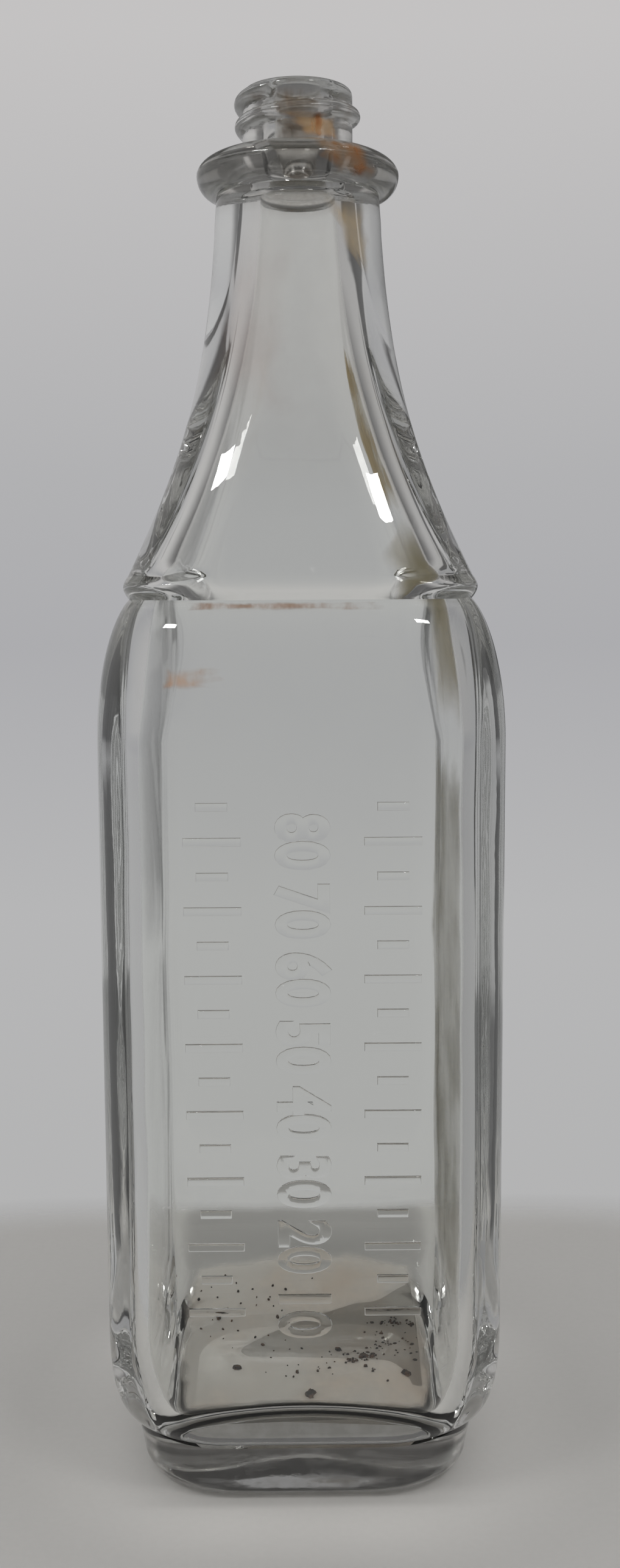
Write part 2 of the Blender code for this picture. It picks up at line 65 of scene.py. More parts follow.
# The bottle's outside: heights, then widths across the flats and upright corner radii
outside = {
    "footHeight": 0.0089,
    "heelHeight": 0.0151,
    "panelHeight": 0.0830,
    "shoulderHeight": 0.0187,
    "bandHeight": 0.0033,
    "neckHeight": 0.0523,
    "collarLowerHeight": 0.0030,
    "collarUpperHeight": 0.0031,
    "finishHeight": 0.0086,
    "footWidth": 0.0492,
    "footCorner": 0.0138,
    "footTaper": 0.0010,        # how far the foot draws in on each side down to its edge
    "bodyWidth": 0.0553,
    "bodyCorner": 0.0102,
    "neckBaseWidth": 0.0472,
    "neckBaseCorner": 0.0125,
    "bandRise": 0.0004,
    "bandCorner": 0.0092,
    "neckTopDiameter": 0.0228,
    "collarDiameter": 0.0283,
    "finishDiameter": 0.0154,
    "pushUpDepth": 0.0016,
    "bearingWidth": 0.0042,
    "footEdge": 0.0032,
    "footGroove": 0.0003,
    "rimEdge": 0.0010,
    "heelBaseReach": (0.0012, 0.0020),
    "heelTopReach": (0.0095, 0.0),
    "shoulderTurn": math.radians(70),
    "neckBaseReach": (0.0170, 0.0077),
    "neckTopReach": (0.0255, 0.0015),
    "neckSquareHeight": 0.0410,
    "neckSquarePower": 1.3,
    "seamDrop": 0.0026,         # the mould seam round the top of the neck
    "seamHeight": 0.0008,
    "seamRise": 0.00016,
}

# The cavity, measured as walls, floor and bore
inside = {
    "bodyWall": 0.0055,
    "shoulderWall": 0.0046,
    "neckWall": 0.0061,
    "floorThickness": 0.0126,
    "floorFilletHeight": 0.0120,
    "floorFilletWidth": 0.0052,
    "floorCornerShare": 0.45,
    "floorDip": 0.0024,         # the floor sinks towards its corners
    "floorDipStart": 0.0130,
    "floorClimb": 0.0055,       # and it climbs towards the back
    "floorClimbRun": (-0.0060, 0.0210),
    "shoulderTurn": math.radians(37),
    "baseReach": (0.0110, 0.0056),
    "topReach": (0.0254, 0.0013),
    "topDrop": 0.0011,
    "boreDiameter": 0.0064,
    "flareDiameter": 0.0088,
    "shelfHeight": 0.0012,
    "flareHeight": 0.0054,
    "mouthEdge": 0.0007,
    "waveDepth": 0.00022,       # how unevenly the wall was blown
    "waveWidth": 0.017,
    "waveHeight": 0.030,
    "rippleShare": 0.30,
    "rippleScale": 3.1,
    "waveStart": 0.004,         # they are full this far over the heel and end this far under the collar
    "waveEnd": 0.012,
    "floorSettle": 1.5,         # the dip and climb end at this many fillet heights
}

heelTop = outside["footHeight"] + outside["heelHeight"]
panelTop = heelTop + outside["panelHeight"]
bandBase = panelTop + outside["shoulderHeight"]
bandTop = bandBase + outside["bandHeight"]
neckTop = bandTop + outside["neckHeight"]
collarMiddle = neckTop + outside["collarLowerHeight"]
collarTop = collarMiddle + outside["collarUpperHeight"]
rim = collarTop + outside["finishHeight"]
cavityTop = neckTop - inside["topDrop"]
flareBase = cavityTop + inside["shelfHeight"]
flareTop = flareBase + inside["flareHeight"]
footHalf, bodyHalf = outside["footWidth"] / 2, outside["bodyWidth"] / 2
neckBaseHalf, neckTopHalf = outside["neckBaseWidth"] / 2, outside["neckTopDiameter"] / 2
finishHalf = outside["finishDiameter"] / 2
innerBand = ((bandBase + bandTop) / 2, neckBaseHalf - inside["shoulderWall"])    # the cavity inside the band
flatWeight = 0.35               # flats get fewer points than their length, so corners stay smooth


def squarePoint(halfWidth, corner, turn):
    # A point on a square with round corners: turn 0 is the middle of the right side, 0.25 of the back
    flat = halfWidth - corner
    weightedFlat = flatWeight * flat
    eighth = weightedFlat + corner * math.pi / 4
    side = round(turn * 4)
    along = (turn * 4 - side) * 2 * eighth
    if abs(along) <= weightedFlat:
        x, y = halfWidth, along / flatWeight
    else:
        angle = (abs(along) - weightedFlat) / corner
        x = flat + corner * math.cos(angle)
        y = math.copysign(flat + corner * math.sin(angle), along)
    heading = side * math.pi / 2
    return (
        x * math.cos(heading) - y * math.sin(heading),
        x * math.sin(heading) + y * math.cos(heading),
    )


def easyCurve(start, startReach, endReach, end, steps):
    # Points (height, half width) on a cubic curve, without its first point
    first = (start[0] + startReach[0], start[1] + startReach[1])
    last = (end[0] - endReach[0], end[1] + endReach[1])
    points = []
    for share in shares(steps):
        rest = 1 - share
        weights = (rest ** 3, 3 * rest ** 2 * share, 3 * rest * share ** 2, share ** 3)
        corners = (start, first, last, end)
        points.append(tuple(sum(w * c[axis] for w, c in zip(weights, corners)) for axis in (0, 1)))
    return points


def roundIn(start, end, turn, steps):
    # Points on an arc that leaves start straight up and bends in to end, without its first point
    points = []
    for share in shares(steps):
        rise = math.sin(turn * share) / math.sin(turn)
        drift = (1 - math.cos(turn * share)) / (1 - math.cos(turn))
        points.append((mix(start[0], end[0], rise), mix(start[1], end[1], drift)))
    return points


def neckFlat(height):
    # Half the flat's width at a height of the neck, fading out where the neck turns round
    share = min(max((height - bandTop) / outside["neckSquareHeight"], 0.0), 1.0)
    return (neckBaseHalf - outside["neckBaseCorner"]) * (1 - share) ** outside["neckSquarePower"]


# Rings are (height, half width, corner radius), from the foot up
def evenRings(first, last, steps):
    # Rings between two others, without the first of them
    return [tuple(mix(a, b, share) for a, b in zip(first, last)) for share in shares(steps)]


def roundRings(points):
    return [(height, width, width) for height, width in points]


def quarterTurn(steps, first=1):
    # The sine and cosine of even steps over a quarter turn
    for step in range(first, steps + 1):
        angle = math.pi / 2 * step / steps
        yield math.sin(angle), math.cos(angle)


def undersideRings(steps=8):
    # The push-up, the flat bearing face round it and the rounded edge of the foot
    outer = footHalf - outside["footTaper"]
    bearingInner = outer - outside["footEdge"] - outside["bearingWidth"]
    cornerShare = outside["footCorner"] / footHalf
    rings = []
    for share in shares(steps):
        inset = bearingInner * share
        rings.append((outside["pushUpDepth"] * (1 - share ** 2), inset, inset * cornerShare))
    for sine, cosine in quarterTurn(steps, first=0):
        width = outer - outside["footEdge"] * (1 - sine)
        rings.append((outside["footEdge"] * (1 - cosine), width, width * cornerShare))
    return rings


def heelRings(steps=20):
    # A shallow groove over the foot, then the heel swelling out to the body
    corner = outside["footCorner"]
    groove = (outside["footHeight"], footHalf - outside["footGroove"])
    edge = (outside["footHeight"] - outside["footGroove"], footHalf, corner)
    rings = evenRings(undersideRings()[-1], edge, 8) + [groove + (corner,)]
    curve = easyCurve(groove, outside["heelBaseReach"], outside["heelTopReach"], (heelTop, bodyHalf), steps)
    for height, width in curve:
        share = (width - groove[1]) / (bodyHalf - groove[1])
        rings.append((height, width, mix(corner, outside["bodyCorner"], share)))
    return rings


def bodyRings(steps=40):
    body = (bodyHalf, outside["bodyCorner"])
    return evenRings((heelTop,) + body, (panelTop,) + body, steps)


def shoulderRings(steps=18):
    rings = []
    arc = roundIn((panelTop, bodyHalf), (bandBase, neckBaseHalf), outside["shoulderTurn"], steps)
    for height, width in arc:
        share = (height - panelTop) / outside["shoulderHeight"]
        rings.append((height, width, mix(outside["bodyCorner"], outside["neckBaseCorner"], share)))
    return rings


def bandRings(steps=14):
    # The band has tighter corners than the neck and body, so it stands out most there
    rings = []
    for share in shares(steps):
        swell = math.sin(math.pi * share)
        corner = mix(outside["neckBaseCorner"], outside["bandCorner"], swell)
        rings.append((mix(bandBase, bandTop, share), neckBaseHalf + outside["bandRise"] * swell, corner))
    return rings


def neckRings(steps=44):
    # The flared neck turns from a square with round corners to a circle
    rise, spread = outside["neckBaseReach"]
    start, end = (bandTop, neckBaseHalf), (neckTop, neckTopHalf)
    rings = []
    for height, width in easyCurve(start, (rise, -spread), outside["neckTopReach"], end, steps):
        offSeam = (height - (neckTop - outside["seamDrop"])) / outside["seamHeight"]
        swell = outside["seamRise"] * math.exp(-offSeam ** 2)
        rings.append((height, width + swell, width + swell - neckFlat(height)))
    return rings


def collarRings(steps=12):
    # The heavy round collar: a tight lower quarter and a broad upper quarter
    widest = outside["collarDiameter"] / 2
    low, high = outside["collarLowerHeight"], outside["collarUpperHeight"]
    lower, upper = widest - neckTopHalf, widest - finishHalf
    turns = list(quarterTurn(steps))
    points = [(collarMiddle - low * cosine, widest - lower * (1 - sine)) for sine, cosine in turns]
    points += [(collarMiddle + high * sine, widest - upper * (1 - cosine)) for sine, cosine in turns]
    return roundRings(points)


def finishRings(wallSteps=64, edgeSteps=8):
    # The wall that carries the thread, then the rounded edge of the rim
    width, edge = finishHalf, outside["rimEdge"]
    top = rim - edge
    rings = evenRings((collarTop, width, width), (top, width, width), wallSteps)
    points = [(top + edge * sine, width - edge * (1 - cosine)) for sine, cosine in quarterTurn(edgeSteps)]
    return rings + roundRings(points)


def floorRings(steps=10):
    # The inner floor and the fillet round it
    width = bodyHalf - inside["bodyWall"]
    corner = outside["bodyCorner"] - inside["bodyWall"]
    rings = []
    for sine, cosine in quarterTurn(steps, first=0):
        height = inside["floorThickness"] + inside["floorFilletHeight"] * (1 - cosine)
        inset = inside["floorFilletWidth"] * (1 - sine)
        rings.append((height, width - inset, corner * mix(inside["floorCornerShare"], 1.0, sine)))
    return rings


def innerBodyRings(steps=40):
    start = floorRings()[-1]
    return evenRings(start, (panelTop,) + start[1:], steps)


def innerShoulderRings(steps=18):
    start = (panelTop, bodyHalf - inside["bodyWall"])
    bodyFlat = bodyHalf - outside["bodyCorner"]
    rings = []
    for height, width in roundIn(start, innerBand, inside["shoulderTurn"], steps):
        share = (height - panelTop) / (innerBand[0] - panelTop)
        rings.append((height, width, width - mix(bodyFlat, neckFlat(bandTop), share)))
    return rings


def innerNeckRings(steps=44):
    rise, spread = inside["baseReach"]
    end = (cavityTop, neckTopHalf - inside["neckWall"])
    curve = easyCurve(innerBand, (rise, -spread), inside["topReach"], end, steps)
    return [(height, width, width - neckFlat(height)) for height, width in curve]


def boreRings(steps=8):
    # The rounded shelf over the neck, the flare and the narrow bore, up to its rounded mouth
    shelf = (cavityTop, neckTopHalf - inside["neckWall"])
    flare, bore, edge = inside["flareDiameter"] / 2, inside["boreDiameter"] / 2, inside["mouthEdge"]
    top = rim - edge
    rings = roundRings(roundIn(shelf, (flareBase, flare), math.pi / 2, steps))
    rings += evenRings((flareBase, flare, flare), (flareTop, bore, bore), steps)
    rings += evenRings((flareTop, bore, bore), (top, bore, bore), 2 * steps)
    points = [(top + edge * sine, bore + edge * (1 - cosine)) for sine, cosine in quarterTurn(steps)]
    return rings + roundRings(points)


outerWall = (
    undersideRings() + heelRings() + bodyRings() + shoulderRings() + bandRings() + neckRings()
    + collarRings() + finishRings()
)
innerWall = floorRings() + innerBodyRings() + innerShoulderRings() + innerNeckRings() + boreRings()


# The screw thread, right-handed, from the front left under the rim
thread = {
    "crestDiameter": 0.0176,
    "pitch": 0.003175,
    "ridge": 0.00118,
    "turns": 1.25,
    "start": math.radians(246),
    "topDrop": 0.0015,
    "fade": math.radians(35),
    "fadeDepth": 0.85,
    "roundness": 0.62,
}


def threadRise(height, heading):
    # How far the thread stands out from the finish wall at a place
    best = 0.0
    whole = thread["turns"] * 2 * math.pi
    crest = (thread["crestDiameter"] - outside["finishDiameter"]) / 2
    for lap in range(3):
        along = (thread["start"] - heading) % (2 * math.pi) + lap * 2 * math.pi
        if along > whole:
            break
        middle = rim - thread["topDrop"] - thread["pitch"] * along / (2 * math.pi)
        off = abs(height - middle) / thread["ridge"]
        if off < 1:
            fade = math.sin(min(along, whole - along, thread["fade"]) / thread["fade"] * math.pi / 2)
            best = max(best, crest * fade ** thread["fadeDepth"] * (1 - off ** 2) ** thread["roundness"])
    return best


def blownWave(x, y, height):
    # How far the blown inner wall strays from its true place, least at the floor and in the bore
    place = Vector((x / inside["waveWidth"], y / inside["waveWidth"], height / inside["waveHeight"]))
    settled = smoothShare(height, inside["floorThickness"], heelTop + inside["waveStart"])
    settled *= 1 - smoothShare(height, bandTop, neckTop - inside["waveEnd"])
    ripple = inside["rippleShare"] * noise.noise(place * inside["rippleScale"])
    return inside["waveDepth"] * settled * (noise.noise(place) + ripple)


def floorSink(x, y, height):
    # How far the inner floor sinks at a place: nothing in the middle, most in the front corners
    reach = smoothShare(math.hypot(x, y), inside["floorDipStart"], bodyHalf)
    back = smoothShare(y, *inside["floorClimbRun"])
    low = inside["floorThickness"]
    settled = 1 - smoothShare(height, low, low + inside["floorSettle"] * inside["floorFilletHeight"])
    return (inside["floorDip"] * reach * (1 - back) - inside["floorClimb"] * back) * settled


def wallPoint(halfWidth, corner, turn, height, isInner):
    # A place on the glass, with the waves and floor of the inside or the thread of the outside
    x, y = squarePoint(halfWidth, corner, turn)
    reach = math.hypot(x, y)
    swell = 1
    if isInner:
        swell += blownWave(x, y, height) / reach if reach > 0.001 else 0
        height -= floorSink(x * swell, y * swell, height)
    elif height > collarTop:
        swell += threadRise(height, math.atan2(y, x)) / reach
    return Vector((x * swell, y * swell, height))


def finished(name, bm, finish, smooth=True):
    mesh = bpy.data.meshes.new(name)
    bm.to_mesh(mesh)
    bm.free()
    made = bpy.data.objects.new(name, mesh)
    scene.collection.objects.link(made)
    if smooth:
        mesh.shade_smooth()
    if finish:
        mesh.materials.append(finish)
    return made


def loopEdges(verts):
    chosen = set(verts)
    edges = set()
    for vert in verts:
        edges.update(edge for edge in vert.link_edges if edge.other_vert(vert) in chosen)
    return list(edges)


glassMesh = {
    "sectionPoints": 128,
    "sharpAngle": math.radians(34),
}


def makeGlass(finish):
    # One closed skin: up the outside, over the rim and down the inside to the floor
    rings = [(ring, False) for ring in outerWall]
    rings += [(ring, True) for ring in reversed(innerWall)]
    count = glassMesh["sectionPoints"]
    bm = bmesh.new()
    place = bm.verts.layers.int.new("place")
    verts = bmesh.ops.create_circle(bm, cap_ends=True, segments=count, radius=1.0)["verts"]
    for number, vert in enumerate(verts):
        vert[place] = number
    for number, ((height, halfWidth, corner), isInner) in enumerate(rings):
        if number:
            grown = bmesh.ops.extrude_edge_only(bm, edges=loopEdges(verts))
            verts = [part for part in grown["geom"] if isinstance(part, bmesh.types.BMVert)]
        for vert in verts:
            vert.co = wallPoint(halfWidth, corner, vert[place] / count, height, isInner)
    bmesh.ops.holes_fill(bm, edges=loopEdges(verts), sides=0)
    bmesh.ops.recalc_face_normals(bm, faces=bm.faces)
    return finished("bottleGlass", bm, finish)


# Raised graduations on the front panel: two ladders of bars and the plain numbers between them
graduations = {
    "inset": 0.0056,
    "long": 0.0076,
    "short": 0.0042,
    "stroke": 0.0011,
    "rise": 0.0004,
    "root": 0.0006,
    "pitch": 0.0046,
    "margin": 0.0060,
    "edge": 0.00016,
    "figureSize": 0.0094,
    "figureSqueeze": 0.78,
    "figureDrop": 0.0004,
    "figureStroke": 0.00022,
    "figureStep": 10,
    "weld": 0.000002,
}
markDepth = graduations["rise"] + graduations["root"]
markFront = -bodyHalf - graduations["rise"]
markMiddle = markFront + markDepth / 2


def graduationHeights():
    low = heelTop + graduations["margin"]
    high = panelTop - graduations["margin"]
    count = math.floor((high - low) / graduations["pitch"]) + 1
    return [low + number * graduations["pitch"] for number in range(count)]


def makeBars():
    bm = bmesh.new()
    columnPlace = bodyHalf - outside["bodyCorner"] - graduations["inset"]
    for column in (-columnPlace, columnPlace):
        for number, height in enumerate(graduationHeights()):
            length = graduations["short"] if number % 2 else graduations["long"]
            cube = bmesh.ops.create_cube(bm, size=1.0)["verts"]
            bmesh.ops.scale(bm, verts=cube, vec=(length, markDepth, graduations["stroke"]))
            bmesh.ops.translate(bm, verts=cube, vec=(column, markMiddle, height))
    rims = [edge for edge in bm.edges if all(vert.co.y < markFront + 1e-6 for vert in edge.verts)]
    bmesh.ops.bevel(
        bm, geom=rims, offset=graduations["edge"], segments=3, profile=0.5, affect="EDGES", material=-1
    )
    return finished("graduationBars", bm, None)


def builtMesh(made):
    # An object's mesh with its modifiers or figures worked in
    bpy.context.view_layer.update()
    return bpy.data.meshes.new_from_object(made.evaluated_get(bpy.context.evaluated_depsgraph_get()))


def makeFigures():
    # The numbers read down the bottle, with their tops to the right
    turnDown = Matrix(((0, 1, 0), (0, 0, -1), (-1, 0, 0))).to_4x4()
    bm = bmesh.new()
    for number, height in enumerate(graduationHeights()[::2], start=1):
        figure = bpy.data.curves.new("figure", "FONT")
        figure.body = str(number * graduations["figureStep"])
        figure.size = graduations["figureSize"]
        figure.align_x = "CENTER"
        figure.align_y = "CENTER"
        figure.offset = graduations["figureStroke"]
        figure.extrude = markDepth / 2 - graduations["edge"]
        figure.bevel_depth = graduations["edge"]
        figure.bevel_resolution = 1
        figure.resolution_u = 5
        holder = bpy.data.objects.new("figure", figure)
        scene.collection.objects.link(holder)
        shape = builtMesh(holder)
        bpy.data.objects.remove(holder)
        squeeze = Matrix.Diagonal((graduations["figureSqueeze"], 1, 1, 1))
        place = Matrix.Translation((-graduations["figureDrop"], markMiddle, height))
        shape.transform(place @ turnDown @ squeeze)
        bm.from_mesh(shape)
        bpy.data.meshes.remove(shape)
    bmesh.ops.remove_doubles(bm, verts=bm.verts, dist=graduations["weld"])
    bmesh.ops.recalc_face_normals(bm, faces=bm.faces)
    return finished("figures", bm, None)


def joinTo(target, marks, crossed):
    # Joins raised marks for good. Crossed is for marks whose own outlines overlap.
    modifier = target.modifiers.new(marks.name, "BOOLEAN")
    modifier.operation = "UNION"
    modifier.solver = "EXACT"
    modifier.use_self = crossed
    modifier.object = marks
    joined = builtMesh(target)
    target.modifiers.clear()
    target.data = joined
    bpy.data.objects.remove(marks)


def give(socket, source):
    # Gives an input a plain value or another node's output
    if isinstance(source, bpy.types.NodeSocket):
        socket.id_data.links.new(source, socket)
    else:
        socket.default_value = source


def feed(node, **sources):
    # Gives a node's inputs what they take, by name
    for name, source in sources.items():
        give(node.inputs[name.replace("_", " ")], source)
    return node


def newMaterial(name, **values):
    # A Principled finish, its node tree and its shader
    made = bpy.data.materials.new(name)
    made.use_nodes = True
    return made, made.node_tree, feed(made.node_tree.nodes["Principled BSDF"], **values)


def newNode(kind, *sources):
    # A node in the tree that its sources come from
    tree = next(source.id_data for source in sources if isinstance(source, bpy.types.NodeSocket))
    return tree.nodes.new(kind)


def worked(operation, *sources):
    # One sum on numbers and other nodes' outputs
    node = newNode("ShaderNodeMath", *sources)
    node.operation = operation
    for socket, source in zip(node.inputs, sources):
        give(socket, source)
    return node.outputs[0]


def plus(first, second):
    return worked("ADD", first, second)


def times(first, second):
    return worked("MULTIPLY", first, second)


def eased(source, low, high, start=0.0, end=1.0):
    # An easy rise from start to end between two values of the source
    node = newNode("ShaderNodeMapRange", source)
    node.interpolation_type = "SMOOTHSTEP"
    feed(node, Value=source, From_Min=low, From_Max=high, To_Min=start, To_Max=end)
    return node.outputs["Result"]


def blended(share, first, second, blendType="MIX"):
    # A colour between two colours, each given as a value or another node's output
    node = newNode("ShaderNodeMix", share, first, second)
    node.data_type = "RGBA"
    node.blend_type = blendType
    for number, source in ((0, share), (6, first), (7, second)):
        give(node.inputs[number], source)
    return node.outputs[2]


def windowed(source, low, high, soft):
    # 1 between two values and 0 outside them, with soft ends
    fall = eased(source, high - soft, high + soft, 1.0, 0.0)
    return times(eased(source, low - soft, low + soft), fall)


def ramp(source, stops):
    # A colour ramp from (place, colour) stops
    node = newNode("ShaderNodeValToRGB", source)
    for number, (place, colour) in enumerate(stops):
        stop = node.color_ramp.elements[number] if number < 2 else node.color_ramp.elements.new(place)
        stop.position = place
        stop.color = (*colour, 1)
    return feed(node, Fac=source).outputs["Color"]


def clouds(place, scale, detail=3.0, roughness=0.55, stretch=(1, 1, 1)):
    # A noise pattern, read at a place that may be stretched
    mapping = feed(newNode("ShaderNodeMapping", place), Vector=place, Scale=stretch)
    node = feed(
        newNode("ShaderNodeTexNoise", place), Vector=mapping.outputs["Vector"], Scale=scale, Detail=detail,
        Roughness=roughness,
    )
    return node.outputs["Fac"]


def objectPlace(tree):
    # A place in object coordinates, whole and as its three numbers
    place = tree.nodes.new("ShaderNodeTexCoord").outputs["Object"]
    return place, feed(newNode("ShaderNodeSeparateXYZ", place), Vector=place).outputs


def newGroup(name, inputs, outputs):
    # A shared effect, with named inputs and outputs. An input with no value takes a place.
    kinds = {type(None): "NodeSocketVector", float: "NodeSocketFloat", tuple: "NodeSocketColor"}
    group = bpy.data.node_groups.new(name, "ShaderNodeTree")
    for socketName, value in inputs.items():
        socket = group.interface.new_socket(socketName, in_out="INPUT", socket_type=kinds[type(value)])
        if value is not None:
            socket.default_value = value
    for socketName in outputs:
        kind = kinds[tuple if socketName == "Color" else float]
        group.interface.new_socket(socketName, in_out="OUTPUT", socket_type=kind)
    return group, group.nodes.new("NodeGroupInput").outputs, group.nodes.new("NodeGroupOutput")


def placeGroup(tree, group, **sources):
    node = tree.nodes.new("ShaderNodeGroup")
    node.node_tree = group
    return feed(node, **sources)


def addBump(shader, height, distance):
    bump = feed(newNode("ShaderNodeBump", height), Distance=distance, Height=height)
    feed(shader, Normal=bump.outputs["Normal"])


# The glass itself: its tint, its soft unevenness, the wear that a cap left on the finish, and a darker grey
# tint that is grime and painted shade
glassFinish = {
    "tint": (0.985, 0.99, 0.975, 1),
    "depthTint": (0.50, 0.525, 0.47, 1),
    "depthDensity": 2.4,
    "index": 1.52,
    "peelScale": 420.0,
    "peelDepth": 0.000006,
    "smearScale": 70.0,
    "smearRoughness": 0.045,
    "wearRoughness": 0.24,
    "wearZones": ((0.1785, 0.1800, 0.45), (0.1875, 0.1910, 0.55)),      # two heights and the share gained
    "footWear": ((0.0200, 0.0214), (0.0019, 0.0022)),       # the worn underside: its half width and height
    # A grey tint of grime and painted shade: its heights and shares, then the scale and spread of its patches
    "shadeAndGrimeTint": (0.46, 0.445, 0.415, 1),
    "shadeAndGrimeZones": (
        (0.1350, 0.1500, 0.09), (0.1796, 0.1826, 0.91), (0.1868, 0.1882, -0.66),
        (0.0094, 0.0084, 0.85), (0.0190, 0.0120, 0.10),
    ),
    "shadeAndGrimeScale": 330.0,
    "shadeAndGrimePatches": (0.30, 0.62, 0.68, 1.0),
}

# How the shared wear is patterned, whatever surface it is on
wearPattern = {
    "smear": (0.60, 0.78),
    "smearStretch": (1, 1, 0.35),
    "scuff": (0.40, 0.62),
    "scuffStretch": (0.35, 0.35, 1),
    "scuffFineness": 1.4,
    "scuffDepth": 5.0,
    "peelStretch": (1, 1, 0.5),
}


def makeSurfaceWear():
    # Fine unevenness, faint smears and a worn zone, for any hard clear surface
    inputs = {
        "Vector": None, "Peel Scale": 400.0, "Smear Scale": 60.0, "Smear Roughness": 0.05, "Wear": 0.0,
        "Wear Roughness": 0.2,
    }
    group, given, result = newGroup("surfaceWear", inputs, ("Roughness", "Height"))
    place, peelScale, wear = given["Vector"], given["Peel Scale"], given["Wear"]
    smear = clouds(place, given["Smear Scale"], 4.0, 0.6, wearPattern["smearStretch"])
    smear = times(eased(smear, *wearPattern["smear"]), given["Smear Roughness"])
    scuffScale = times(peelScale, wearPattern["scuffFineness"])
    scuff = clouds(place, scuffScale, 5.0, 0.65, wearPattern["scuffStretch"])
    worn = times(times(eased(scuff, *wearPattern["scuff"]), wear), given["Wear Roughness"])
    peel = clouds(place, peelScale, 2.0, 0.5, wearPattern["peelStretch"])
    rough = times(scuff, times(wear, wearPattern["scuffDepth"]))
    feed(result, Roughness=plus(smear, worn), Height=plus(peel, rough))
    return group


surfaceWear = makeSurfaceWear()


def zoned(height, zones):
    # The sum of shares that each grow between two heights
    total = 0.0
    for low, high, share in zones:
        total = plus(total, eased(height, low, high, 0.0, share))
    return total


def makeClearGlass():
    made, tree, shader = newMaterial(
        "clearGlass", Base_Color=glassFinish["tint"], Roughness=0.0, IOR=glassFinish["index"],
        Transmission_Weight=1.0,
    )
    place, split = objectPlace(tree)
    height = split["Z"]
    footReach, footHeight = glassFinish["footWear"]
    across = [worked("ABSOLUTE", split[axis]) for axis in ("X", "Y")]
    under = eased(worked("MAXIMUM", *across), *footReach, 1.0, 0.0)
    under = times(under, eased(height, *footHeight, 1.0, 0.0))
    worn = plus(zoned(height, glassFinish["wearZones"]), under)
    wear = placeGroup(
        tree, surfaceWear, Vector=place, Wear=worn, Peel_Scale=glassFinish["peelScale"],
        Smear_Scale=glassFinish["smearScale"], Smear_Roughness=glassFinish["smearRoughness"],
        Wear_Roughness=glassFinish["wearRoughness"],
    )
    # Grime and painted shade darken the tint by height: most on the foot and collar, less on the finish,
    # faintly on the neck
    shadedAndGrimed = zoned(height, glassFinish["shadeAndGrimeZones"])
    patchy = eased(clouds(place, glassFinish["shadeAndGrimeScale"], 4.0, 0.6), *glassFinish["shadeAndGrimePatches"])
    tint = blended(times(shadedAndGrimed, patchy), glassFinish["tint"], glassFinish["shadeAndGrimeTint"])
    feed(shader, Base_Color=tint, Roughness=wear.outputs["Roughness"])
    addBump(shader, wear.outputs["Height"], glassFinish["peelDepth"])
    inner = tree.nodes.new("ShaderNodeVolumeAbsorption")
    feed(inner, Color=glassFinish["depthTint"], Density=glassFinish["depthDensity"])
    feed(tree.nodes["Material Output"], Volume=inner.outputs["Volume"])
    return made


clearGlass = makeClearGlass()
glass = makeGlass(clearGlass)
marks = makeBars()
joinTo(marks, makeFigures(), crossed=True)
joinTo(glass, marks, crossed=False)
glass.data.shade_smooth()
glass.data.set_sharp_from_angle(angle=glassMesh["sharpAngle"])
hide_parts("glass_bottle")
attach(glass, "root")
print("glass", len(glass.data.polygons))


# How the shared dried tonic is patterned, whatever patch it is on
tonicPattern = {
    "edgeStart": 0.06,
    "streakFineness": 1.3,
    "streakStretch": (1, 1, 0.18),
    "cloudFineness": 0.6,
    "thick": (0.36, 0.66),
    "roughness": (0.62, 0.34),
    "relief": 0.00008,
}


def makeDriedTonic():
    # Dried tonic: streaked and clouded, thin or thick by turns, fraying out towards its edges
    inputs = {
        "Vector": None, "Patch": None, "Scale": 120.0, "Thin Colour": (0.6, 0.5, 0.3, 1),
        "Thick Colour": (0.3, 0.18, 0.06, 1), "Thickness": 0.5, "Thin Cover": 0.2, "Thick Cover": 0.8,
        "Fray": 0.5, "Softness": 0.35,
    }
    group, given, result = newGroup("driedTonic", inputs, ("Color", "Alpha", "Roughness", "Height"))
    place, scale, patch = given["Vector"], given["Scale"], given["Patch"]
    split = feed(newNode("ShaderNodeSeparateXYZ", patch), Vector=patch).outputs
    ends = [worked("MINIMUM", split[axis], worked("SUBTRACT", 1.0, split[axis])) for axis in ("X", "Y")]
    edge = times(worked("MINIMUM", *ends), 2.0)
    fray = worked("SUBTRACT", clouds(place, scale, 5.0, 0.62), 0.5)
    edge = plus(edge, times(fray, given["Fray"]))
    cover = eased(edge, tonicPattern["edgeStart"], given["Softness"])
    streakScale = times(scale, tonicPattern["streakFineness"])
    streak = clouds(place, streakScale, 4.0, 0.6, tonicPattern["streakStretch"])
    cloud = clouds(place, times(scale, tonicPattern["cloudFineness"]))
    depth = times(plus(streak, cloud), 0.5)
    depth = plus(depth, worked("SUBTRACT", given["Thickness"], 0.5))
    thick = eased(depth, *tonicPattern["thick"])
    colour = blended(thick, given["Thin Colour"], given["Thick Colour"])
    opacity = eased(thick, 0.0, 1.0, given["Thin Cover"], given["Thick Cover"])
    rough = eased(streak, 0.3, 0.7, *tonicPattern["roughness"])
    feed(result, Color=colour, Alpha=times(cover, opacity), Roughness=rough, Height=plus(thick, fray))
    return group


driedTonic = makeDriedTonic()


def makeResidueFinish(name, spec):
    made, tree, shader = newMaterial(name, Roughness=0.5, IOR=1.42)
    patch = tree.nodes.new("ShaderNodeUVMap")
    patch.uv_map = "patch"
    stain = placeGroup(
        tree, driedTonic, Vector=objectPlace(tree)[0], Patch=patch.outputs["UV"], Scale=spec["scale"],
        Thin_Colour=(*spec["thin"], 1), Thick_Colour=(*spec["thick"], 1), Thickness=spec["thickness"],
        Thin_Cover=spec["cover"][0], Thick_Cover=spec["cover"][1], Fray=spec["fray"],
        Softness=spec["softness"],
    ).outputs
    feed(shader, Base_Color=stain["Color"], Alpha=stain["Alpha"], Roughness=stain["Roughness"])
    addBump(shader, stain["Height"], tonicPattern["relief"])
    return made


